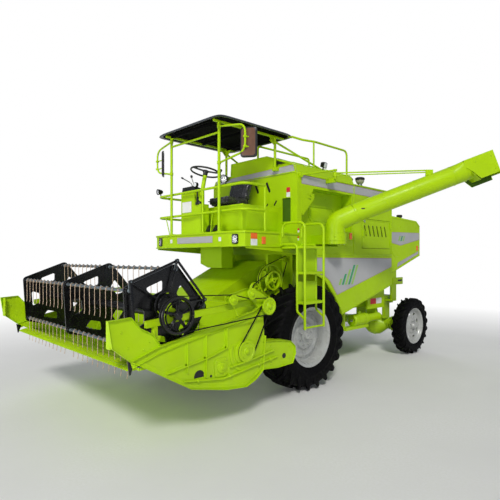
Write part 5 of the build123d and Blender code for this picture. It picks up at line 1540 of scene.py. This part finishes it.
doorway = Shape()
flange(doorway, "y", round_outline([(0.655, 2.65), (0.846, 2.65), (0.846, 2.29), (0.655, 2.29)],
                                   0.02), 0.012, 0.006, 0.02)
doorway.done("tank_front_frame", green)
# a dark green patch inside the frame: painted shade for the recess behind it
film_patch("tank_front_recess", "y", rectangle((0.667, 2.302), (0.834, 2.638)), TANK_FRONT, -1,
           green_painted_shade)

latches = Shape()
for y, z in ((1.113, 2.019), (1.7, 2.4)):
    latches.drum((SIDE_WALL, y, z), (SIDE_WALL + 0.012, y, z), 0.02, 20)
    latches.block((SIDE_WALL + 0.01, SIDE_WALL + 0.018), (y - 0.006, y + 0.006),
                  (z - 0.03, z + 0.03), 0.002)
latches.done("body_latches", bare_steel)
door_fittings = Shape()
door_fittings.prism("x",
                    strip([(1.64, 1.95), (2.54, 1.95), (2.54, 2.43), (1.64, 2.43), (1.64, 1.95)],
                          0.016), 0.949, 0.955, 0.002)
door_fittings.block((0.949, 0.962), (1.655, 1.675), (2.14, 2.24), 0.003)
door_fittings.tube([(0.952, 1.682, 2.15), (0.985, 1.682, 2.15), (0.985, 1.682, 2.23),
                    (0.952, 1.682, 2.23)], 0.006, 0.02, 10)
door_fittings.done("engine_door_fittings", green, "engine_door")

# ------------------------ roof, engine top and hood top
roof_fittings = Shape()
for y in (0.2, 0.6, 1.0, 1.34):
    roof_fittings.prism("y", strip([(0.905, 3.11), (0.352, 3.301), (-0.473, 3.301)], -0.008),
                        y - 0.012, y + 0.012, 0.002)
for x in (-0.8, 0.8):
    for y in (1.5, 1.9, 2.3, 2.52):
        roof_fittings.bolt((x, y, 2.97), Z_AXIS, 0.012)
flange(roof_fittings, "z", round_outline([(-0.7, 1.5), (0.3, 1.5), (0.3, 2.4), (-0.7, 2.4)], 0.05),
       0.03, 2.97, 2.984)
for k in range(12):
    roof_fittings.prism("x", [(1.56 + k * 0.068, 2.97), (1.6 + k * 0.068, 2.97),
                              (1.585 + k * 0.068, 2.984)], -0.66, 0.26, 0.001)
roof_fittings.done("roof_fittings", green)
roof_caps = Shape()
roof_caps.lathe([(0.0, 0.0), (0.0, 0.08), (0.01, 0.088), (0.04, 0.088), (0.052, 0.066),
                 (0.056, 0.0)], (0.5, 2.25, 3.205), Z_AXIS, 32)
roof_caps.tube([(0.5, 1.92, 2.97), (0.5, 1.92, 3.14), (0.5, 1.97, 3.19)], 0.04, 0.07, 20)
roof_caps.lathe([(0.0, 0.0), (0.0, 0.045), (0.05, 0.045), (0.05, 0.058), (0.09, 0.058),
                 (0.096, 0.045), (0.097, 0.0)], (0.6, 3.52, 2.558), Z_AXIS, 28)
roof_caps.done("air_intake_and_exhaust", black_plastic)
intake = Shape()
intake.drum((0.5, 2.25, 2.968), (0.5, 2.25, 3.14), 0.04, 28)
bowl = Shape()
bowl.lathe([(0.0, 0.0), (0.0, 0.046), (0.012, 0.06), (0.045, 0.078), (0.064, 0.08), (0.066, 0.0)],
           (0.5, 2.25, 3.138), Z_AXIS, 32)
bowl.done("air_intake_bowl", pale_plastic)
intake.sleeve((0.5, 2.25, 3.09), Z_AXIS, 0.0, 0.02, 0.044, 0.05, 28)
intake.drum((0.5, 1.92, 2.968), (0.5, 1.92, 2.982), 0.075, 28)
intake.done("air_intake_stem", bat_steel)

lid_detail = Shape()
lid_detail.prism("z",
                 strip([(-0.345, 0.28), (0.0, 0.28), (0.0, 1.27), (-0.345, 1.27), (-0.345, 0.28)],
                       0.022), 3.313, 3.319, 0.002)
for y in (0.52, 0.775, 1.03):
    lid_detail.prism("z", rectangle((-0.3, y - 0.015), (-0.045, y + 0.015), 0.01), 3.313, 3.32,
                     0.002)
lid_detail.tube([(-0.015, 0.7, 3.314), (-0.015, 0.7, 3.35), (-0.015, 0.85, 3.35),
                 (-0.015, 0.85, 3.314)], 0.007, 0.03, 10)
lid_detail.done("tank_lid_ribs", green, "tank_lid")

# ------------------------ unloading auger
# the tube's direction: half way out from the machine's rear, and rising
heading = Vector((math.sin(math.radians(45)), math.cos(math.radians(45)), 0))
slope = heading + Vector((0, 0, math.tan(math.radians(21))))
direction = slope.normalized()
elbow_centre = Vector((*TURRET, 2.33))
tube_end = elbow_centre + slope * 2.33
sideways = Vector((heading.y, -heading.x, 0))
upward = sideways.cross(direction)
bend = Shape()
bend_path = [elbow_centre + Vector((0, 0, -0.16)), elbow_centre + Vector((0, 0, -0.02)),
             elbow_centre + direction * 0.3]
path = [Vector((*TURRET, 2.1315)), *smooth_corners(bend_path, 0.16)]
rings = []
for i, point in enumerate(path):
    tangent = (path[min(i + 1, len(path) - 1)] - path[max(i - 1, 0)]).normalized()
    other = tangent.cross(sideways).normalized()
    rings.append([point + (sideways * math.cos(t) + other * math.sin(t)) * 0.1465
                  for t in turns(64)])
bend.loft(rings)
bend.sleeve((*TURRET, 2.1305), Z_AXIS, 0.0, 0.0155, 0.148, 0.165, 64)
for x, y in ring_points(TURRET, 0.157, 10):
    bend.bolt((x, y, 2.146), Z_AXIS, 0.01)
bend.sleeve(elbow_centre + direction * 0.312, direction, -0.012, 0.012, 0.143, 0.1475, 64)
bend.done("auger_bend", green, "unloading_auger", ["auger_elbow"], 40)


def spout_ring(corners, out):
    """Corners given along and above the tube's axis from its end, at this distance to the side."""
    return [tube_end + direction * along + upward * up + sideways * out for along, up in corners]


tube = Shape()
tube.drum(elbow_centre + direction * 0.3, tube_end - direction * 0.34, 0.143, 72)
for out, corners in ((0.145, [(-0.46, 0.148), (0.0, 0.148), (0.0, -0.185), (-0.305, -0.185),
                              (-0.4, -0.03), (-0.46, 0.04)]),
                     (-0.145, [(-0.46, 0.148), (0.0, 0.148), (0.0, -0.268), (-0.34, -0.268),
                               (-0.46, -0.08)])):
    tube.loft([spout_ring(corners, out - 0.003), spout_ring(corners, out + 0.003)])
for corners in ([(-0.46, 0.142), (-0.46, 0.148), (0.0, 0.148), (0.0, 0.142)],
                [(-0.006, 0.148), (0.0, 0.148), (0.0, -0.215), (-0.006, -0.215)],
                [(-0.402, -0.06), (-0.394, -0.06), (-0.31, -0.2), (-0.318, -0.2)]):
    tube.loft([spout_ring(corners, -0.147), spout_ring(corners, 0.147)])
for out, corners in ((0.151, [(0.0, -0.185), (-0.305, -0.185), (-0.305, -0.177), (0.0, -0.177)]),
                     (0.151, [(-0.305, -0.185), (-0.4, -0.03), (-0.392, -0.026),
                              (-0.297, -0.181)])):
    tube.loft([spout_ring(corners, out - 0.004), spout_ring(corners, out)])
tube.drum(tube_end - direction * 0.01, tube_end + direction * 0.044, 0.04, 32, 0.003)
collar = []
for along, square in ((-0.62, 1.0), (-0.54, 0.7), (-0.46, 0.3)):
    ring = []
    for t in turns(64):
        side_part, up_part = math.cos(t), math.sin(t)
        if up_part > 0:
            side_part = math.copysign(abs(side_part) ** square, side_part)
            up_part = up_part ** square
        reach = 0.1438 + (0.0045 if along > -0.5 else 0.0)
        ring.append(tube_end + direction * along + sideways * side_part * reach + upward * up_part
                    * reach)
    collar.append(ring)
tube.loft(collar)
tube.done("auger_tube_and_spout", green, "unloading_auger", ["auger_tube"], 40)
# a dark green sheet just inside the spout's far wall: painted shade of the spout's inside
throat = Shape()
throat.loft([spout_ring([(-0.45, 0.14), (-0.008, 0.14), (-0.008, -0.266), (-0.338, -0.266),
                         (-0.45, -0.08)], out) for out in (-0.1415, -0.1395)])
throat.done("spout_throat", green_painted_shade, "unloading_auger")
bands = Shape()
for along in (0.78, 1.3, 1.86):
    bands.sleeve(elbow_centre + direction * along, direction, -0.012, 0.012, 0.142, 0.1455, 64)
for along, lift in ((-0.055, 0.07), (-0.055, -0.12), (-0.3, 0.07)):
    for hand in (1, -1):
        place = tube_end + direction * along + upward * lift + sideways * hand * 0.148
        bands.bolt(place, sideways * hand, 0.01)
bands.lathe([(0.044, 0.0), (0.044, 0.034), (0.05, 0.03), (0.05, 0.0)], tube_end, direction, 28)
for angle in turns(6):
    out = upward * math.cos(angle) + sideways * math.sin(angle)
    bands.bolt(tube_end + direction * 0.008 + out * 0.07, direction, 0.01)
bands.lathe([(0.008, 0.042), (0.008, 0.09), (0.014, 0.088), (0.014, 0.042)], tube_end, direction,
            40, True)
bands.done("auger_bands", green, "unloading_auger")
# a black block on the tube: painted shade in place of the inspection slot
mark = Shape()
place = elbow_centre + direction * 0.42
mark.chamfered(place + sideways * 0.1425 + upward * 0.02, (0.05, 0.004, 0.018), 0.001,
               Matrix.Rotation(math.radians(45), 4, "Z"))
mark.done("auger_inspection_slot", black_plastic, "unloading_auger")

turret_ring = Shape()
for angle in turns(10, math.pi / 10):
    out = Vector((math.cos(angle), math.sin(angle), 0))
    turret_ring.bolt(Vector((*TURRET, 2.095)) + out * 0.166, out, 0.011)
turret_ring.sleeve((*TURRET, 2.045), Z_AXIS, -0.01, 0.01, 0.16, 0.169, 64)
turret_ring.done("turret_bolts", green)

# ------------------------ drive pulleys beside the feeder house
ring_pulley, drive_belts = Shape(), Shape()
for x, y, z, radius, spokes in ((0.695, -0.262, 1.468, 0.23, 5), (0.738, -0.25, 1.47, 0.135, 4),
                                (0.7, -0.56, 1.38, 0.075, 0)):
    ring_pulley.lathe([(-0.022, radius - 0.022), (-0.022, radius), (-0.014, radius + 0.002),
                       (-0.004, radius - 0.012), (0.004, radius - 0.012), (0.014, radius + 0.002),
                       (0.022, radius), (0.022, radius - 0.022)], (x, y, z), X_AXIS, 48, True)
    ring_pulley.sleeve((x, y, z), X_AXIS, -0.03, 0.03, 0.014, 0.034, 28)
    ring_pulley.drum((0.62, y, z), (0.745, y, z), 0.014, 20)
    reach = radius - 0.03
    for a in turns(spokes, 0.3):
        middle = Vector((x, y + reach * 0.55 * math.cos(a), z + reach * 0.55 * math.sin(a)))
        ring_pulley.chamfered(middle, (0.01, reach * 0.95, 0.03), 0.003, Matrix.Rotation(a, 4, "X"))
    if not spokes:
        ring_pulley.sleeve((x, y, z), X_AXIS, -0.004, 0.004, 0.03, radius - 0.015, 36)
ring_pulley.done("feeder_drive_pulleys", green)
belt(drive_belts, 0.738, 0.012, 0.008, [(-0.25, 1.47, 0.126), (-0.56, 1.38, 0.066)])
belt(drive_belts, 0.691, 0.012, 0.008, [(-0.262, 1.468, 0.221), (0.045, 1.762, 0.042)])
drive_belts.done("feeder_drive_belts", belt_rubber)
pulley_brackets = Shape()
pulley_brackets.block((0.553, 0.64), (-0.29, -0.12), (1.475, 1.6), 0.006)
pulley_brackets.prism("x", [(-0.24, 1.53), (-0.57, 1.405), (-0.57, 1.355), (-0.24, 1.475)], 0.612,
                      0.624, 0.003)
pulley_brackets.drum((0.62, -0.56, 1.38), (0.745, -0.56, 1.38), 0.014, 20)
pulley_brackets.lathe([(-0.012, 0.01), (-0.012, 0.044), (-0.004, 0.04), (0.004, 0.04),
                       (0.012, 0.044), (0.012, 0.01)], (0.691, 0.045, 1.762), X_AXIS, 28, True)
pulley_brackets.drum((0.56, 0.045, 1.762), (0.715, 0.045, 1.762), 0.012, 20)
pulley_brackets.done("drive_pulley_brackets", green)


# ------------------------ axles, chassis and oil tank
axle_bolts = Shape()
for y, z in ring_points((0, FRONT_AXLE_Z), 0.165, 10):
    axle_bolts.bolt((0.61, y, z), (-1, 0, 0), 0.012)
    if z < 0.84:
        axle_bolts.bolt((0.74, y, z), X_AXIS, 0.012)
for y, z in ring_points((REAR_AXLE_Y, 0.475), 0.135, 12):
    axle_bolts.bolt((0.435, y, z), X_AXIS, 0.01)
axle_bolts.sleeve((0.64, 3.1, 0.515), X_AXIS, -0.012, 0.012, 0.085, 0.118, 36)
axle_bolts.sleeve((0.42, 0.0, 0.715), X_AXIS, -0.015, 0.015, 0.075, 0.11, 36)
for y in (2.985, 3.215):
    for z in (0.7, 0.85):
        out = y - REAR_AXLE_Y
        axle_bolts.bolt((0.055, REAR_AXLE_Y + out * 0.52, z), (0, out, 0), 0.012)
axle_bolts.mirrored().done("axle_bolts", green)

oil_tank = Shape()
for y, radius in ((1.78, 0.105), (1.98, 0.105), (2.15, 0.072), (2.46, 0.072)):
    oil_tank.sleeve((0.72, y, 0.714), Y_AXIS, -0.012, 0.012, radius - 0.001, radius + 0.004, 40)
oil_tank.lathe([(0.0, 0.0), (0.0, 0.03), (0.025, 0.03), (0.03, 0.038), (0.05, 0.038), (0.056, 0.03),
                (0.056, 0.0)], (0.72, 1.88, 0.81), Z_AXIS, 24)
oil_tank.lathe([(0.0, 0.07), (0.012, 0.096), (0.022, 0.104), (0.024, 0.09)], (0.72, 1.668, 0.714),
               Y_AXIS, 40, True)
oil_tank.tube([(0.69, 2.515, 0.72), (0.64, 2.62, 0.76), (0.56, 2.7, 0.9)], 0.014, 0.06, 12)
oil_tank.done("oil_tank_fittings", green)
plugs = Shape()
plugs.drum((0.72, 1.692, 0.714), (0.72, 1.655, 0.714), 0.022, 20)
plugs.bolt((0.72, 1.655, 0.714), (0, -1, 0), 0.02)
plugs.drum((0.72, 2.519, 0.714), (0.72, 2.535, 0.714), 0.016, 18)
plugs.done("oil_tank_plugs", bare_steel)

frame_detail = Shape()
for y in (0.0, 1.15, 3.1):
    for z in (0.935, 1.025):
        for shift in (-0.035, 0.035):
            frame_detail.bolt((0.605, y + shift, z), X_AXIS, 0.011)
for y in (0.5, 1.75, 2.4):
    frame_detail.prism("x", rectangle((y - 0.035, 0.91), (y + 0.035, 1.05)), 0.604, 0.61, 0.002)
frame_detail.prism("x", rectangle((2.995, 1.27), (3.39, 1.405), 0.012), 0.738, 0.747, 0.002)
frame_detail.prism("z", rectangle((0.66, 3.15), (0.745, 3.39), 0.012), 1.268, 1.276, 0.002)
for y in (3.03, 3.12):
    frame_detail.bolt((0.747, y, 1.34), X_AXIS, 0.011)
frame_detail.mirrored().done("frame_fittings", green)
# a black patch on each rear bracket: painted shade in place of its slot
bracket_slots = Shape()
slot_plate(bracket_slots, "x", (3.19, 1.345), (3.35, 1.345), 0.034, 0.747, 1)
bracket_slots.mirrored().done("rear_bracket_slots", black_plastic)

hoses = Shape()
for side in (1, -1):
    route = ((0.38, 0.245, 0.575), (0.34, 0.34, 0.66), (0.3, 0.44, 0.86), (0.3, 0.44, 1.04))
    hoses.tube([(side * x, y, z) for x, y, z in route], 0.011, 0.08, 10)
hoses.tube([(-0.16, 3.345, 0.6), (-0.14, 3.3, 0.72), (-0.1, 3.2, 0.88), (-0.1, 3.14, 0.93)], 0.01,
           0.06, 10)
hoses.tube([(0.16, 3.345, 0.6), (0.14, 3.3, 0.7), (0.1, 3.22, 0.86), (0.1, 3.14, 0.93)], 0.01, 0.06,
           10)
hoses.done("hydraulic_hoses", belt_rubber)

# ------------------------ back of the hood and the bay
hood_back = Shape()
flange(hood_back, "y", round_outline([(-0.6, 1.9), (0.6, 1.9), (0.6, 2.38), (-0.6, 2.38)], 0.04),
       0.022, 4.099, 4.107)
for x in (-0.4, 0.4):
    hood_back.drum((x - 0.05, 4.108, 2.385), (x + 0.05, 4.108, 2.385), 0.009, 16)
for x in (-0.42, -0.14, 0.14, 0.42):
    hood_back.prism("y", rectangle((x - 0.012, 1.94), (x + 0.012, 2.34), 0.006), 4.099, 4.106,
                    0.003)
hood_back.tube([(-0.07, 4.1, 1.955), (-0.07, 4.128, 1.955), (0.07, 4.128, 1.955),
                (0.07, 4.1, 1.955)], 0.007, 0.02, 10)
for x in (-0.735, 0.735):
    hood_back.prism("y", rectangle((x - 0.013, 1.84), (x + 0.013, 2.44)), 4.098, 4.104, 0.003)
hood_back.done("hood_back_panel", green)
for hand, side in SIDES:
    x = side * 0.668
    for part, look, half, ys, zs, soft in (
            ("base", black_plastic, 0.048, (4.099, 4.116), (2.02, 2.25), 0.006),
            ("red", red_lens, 0.038, (4.112, 4.134), (2.03, 2.13), 0.008),
            ("amber", amber, 0.038, (4.112, 4.134), (2.14, 2.24), 0.008)):
        lamp = Shape()
        lamp.block((x - half, x + half), ys, zs, soft)
        lamp.done(f"tail_lamp_{part}_{hand}", look)
bay_back = Shape()
flange(bay_back, "y", round_outline([(-0.62, 2.66), (0.62, 2.66), (0.62, 2.92), (-0.62, 2.92)],
                                    0.03), 0.02, 2.599, 2.607)
for k in range(9):
    z = 2.69 + k * 0.026
    bay_back.prism("x", [(2.599, z), (2.612, z - 0.004), (2.599, z + 0.016)], -0.58, 0.58, 0.001)
for side in (-1, 1):
    for z in (1.95, 2.25, 2.55, 2.85):
        bay_back.bolt((side * 0.9, 2.6, z), Y_AXIS, 0.011)
bay_back.done("bay_back_grille", green)

# ------------------------ engine, seen with the door open
engine = Shape()
engine.block((0.425, 0.47), (1.74, 2.26), (2.2, 2.5), 0.02)
for y in (1.8, 1.93, 2.06, 2.19):
    engine.drum((0.47, y, 2.42), (0.5, y, 2.42), 0.028, 20)
    engine.tube([(0.47, y, 2.28), (0.535, y, 2.28), (0.555, y, 2.22), (0.555, y, 2.1)], 0.02, 0.03,
                14)
engine.tube([(0.555, 1.78, 2.1), (0.555, 2.24, 2.1)], 0.032, 0, 18)
for y in (1.76, 2.24):
    for z in (1.92, 2.05):
        engine.bolt((0.43, y, z), X_AXIS, 0.018)
engine.drum((0.4, 2.352, 2.1), (0.4, 2.4, 2.1), 0.07, 28)
engine.done("engine_dressing", iron)


# ------------------------ camera, lights and floor
camera_data = bpy.data.cameras.new("camera")
camera_data.lens, camera_data.sensor_width = 31.63, 36.0
camera_data.shift_x, camera_data.shift_y = -0.0578, 0.0158
camera_data.clip_end = 200
camera = linked("camera", camera_data)
camera.location = Vector((5.03, -4.574, 1.784)) + ORIGIN
camera.rotation_euler = (math.radians(90), 0, math.radians(44.02))
bpy.context.scene.camera = camera


def light(name, kind, place, target, energy, colour, **facts):
    """A lamp at a place, aimed at a target."""
    data = bpy.data.lights.new(name, kind)
    data.energy, data.color = energy, colour
    for key, value in facts.items():
        setattr(data, key, value)
    lamp = linked(name, data)
    lamp.location = Vector(place) + ORIGIN
    lamp.rotation_euler = (Vector(target) - Vector(place)).to_track_quat("-Z", "Y").to_euler()


light("sun", "SUN", (6.5, -6.0, 8.5), (0, 0, 1), 2.0, (1.0, 0.985, 0.94), angle=0.2)
light("rear_fill", "AREA", (-8, 9, 6), (0, 1, 1.5), 260, (0.93, 0.96, 1.0), shape="DISK", size=6)
light("front_fill", "AREA", (1.0, -11, 1.6), (0, -1, 1.5), 450, (1.0, 1.0, 1.0), shape="DISK",
      size=5)
light("low_fill", "AREA", (8.8, -6.0, 1.9), (0.8, -1.4, 0.9), 95, (1.0, 1.0, 1.0), shape="DISK",
      size=2.5)

world = bpy.data.worlds.new("studio")
bpy.context.scene.world = world
world.use_nodes = True
tree = world.node_tree
tree.nodes.clear()


def world_node(kind, **settings):
    made = tree.nodes.new(kind)
    for key, value in settings.items():
        setattr(made, key, value)
    return made


coord = world_node("ShaderNodeTexCoord")
split = world_node("ShaderNodeSeparateXYZ")
ramp = world_node("ShaderNodeValToRGB")
sky = world_node("ShaderNodeBackground")
plain = world_node("ShaderNodeBackground")
paths = world_node("ShaderNodeLightPath")
seen = world_node("ShaderNodeMath", operation="MAXIMUM")
blend = world_node("ShaderNodeMixShader")
out = world_node("ShaderNodeOutputWorld")
stops = ramp.color_ramp.elements   # the last stop stays white
stops[0].color = (0.42, 0.42, 0.4, 1)
stops.new(0.5).color = (0.62, 0.72, 0.9, 1)
height = world_node("ShaderNodeMapRange")
height.inputs["From Min"].default_value = -1.0
tree.links.new(coord.outputs["Generated"], split.inputs[0])
tree.links.new(split.outputs["Z"], height.inputs["Value"])
tree.links.new(height.outputs["Result"], ramp.inputs["Fac"])
tree.links.new(ramp.outputs["Color"], sky.inputs["Color"])
sky.inputs["Strength"].default_value = 0.34
plain.inputs["Color"].default_value = (1, 1, 1, 1)
tree.links.new(paths.outputs["Is Camera Ray"], seen.inputs[0])
tree.links.new(paths.outputs["Is Transmission Ray"], seen.inputs[1])
tree.links.new(seen.outputs[0], blend.inputs["Fac"])
tree.links.new(sky.outputs[0], blend.inputs[1])
tree.links.new(plain.outputs[0], blend.inputs[2])
tree.links.new(blend.outputs[0], out.inputs["Surface"])


def floor_look():
    """Pale concrete near the machine that fades to the white backdrop further out."""
    look = Look("pale_floor", specular_ior_level=0.2)
    tone = look.mix(look.noise(0.6, 4), (0.7, 0.7, 0.7), (0.76, 0.76, 0.76))
    look.finish(look.mix(look.noise(40, 4), tone, (0.72, 0.72, 0.71)), 0.75, look.noise(90, 3),
                0.06, 0.002)
    reach = look.tree.nodes.new("ShaderNodeVectorMath")
    reach.operation = "LENGTH"
    look.tree.links.new(look.place, reach.inputs[0])
    far = look.span(reach.outputs["Value"], 5.0, 11.0)
    seen = look.tree.nodes.new("ShaderNodeLightPath").outputs["Is Camera Ray"]
    white = look.node("ShaderNodeEmission")
    blend = look.tree.nodes.new("ShaderNodeMixShader")
    look.tree.links.new(look.product(far, seen), blend.inputs["Fac"])
    look.tree.links.new(look.shader.outputs[0], blend.inputs[1])
    look.tree.links.new(white.outputs[0], blend.inputs[2])
    look.tree.links.new(blend.outputs[0], look.tree.nodes["Material Output"].inputs["Surface"])
    return look.mat


floor_mesh = bpy.data.meshes.new("floor")
floor_mesh.from_pydata([(x, y, -0.001) for x, y in ((-40, -40), (40, -40), (40, 40), (-40, 40))],
                       [], [(0, 1, 2, 3)])
floor_mesh.materials.append(floor_look())
linked("floor", floor_mesh)
bpy.context.scene.view_settings.view_transform = "Standard"
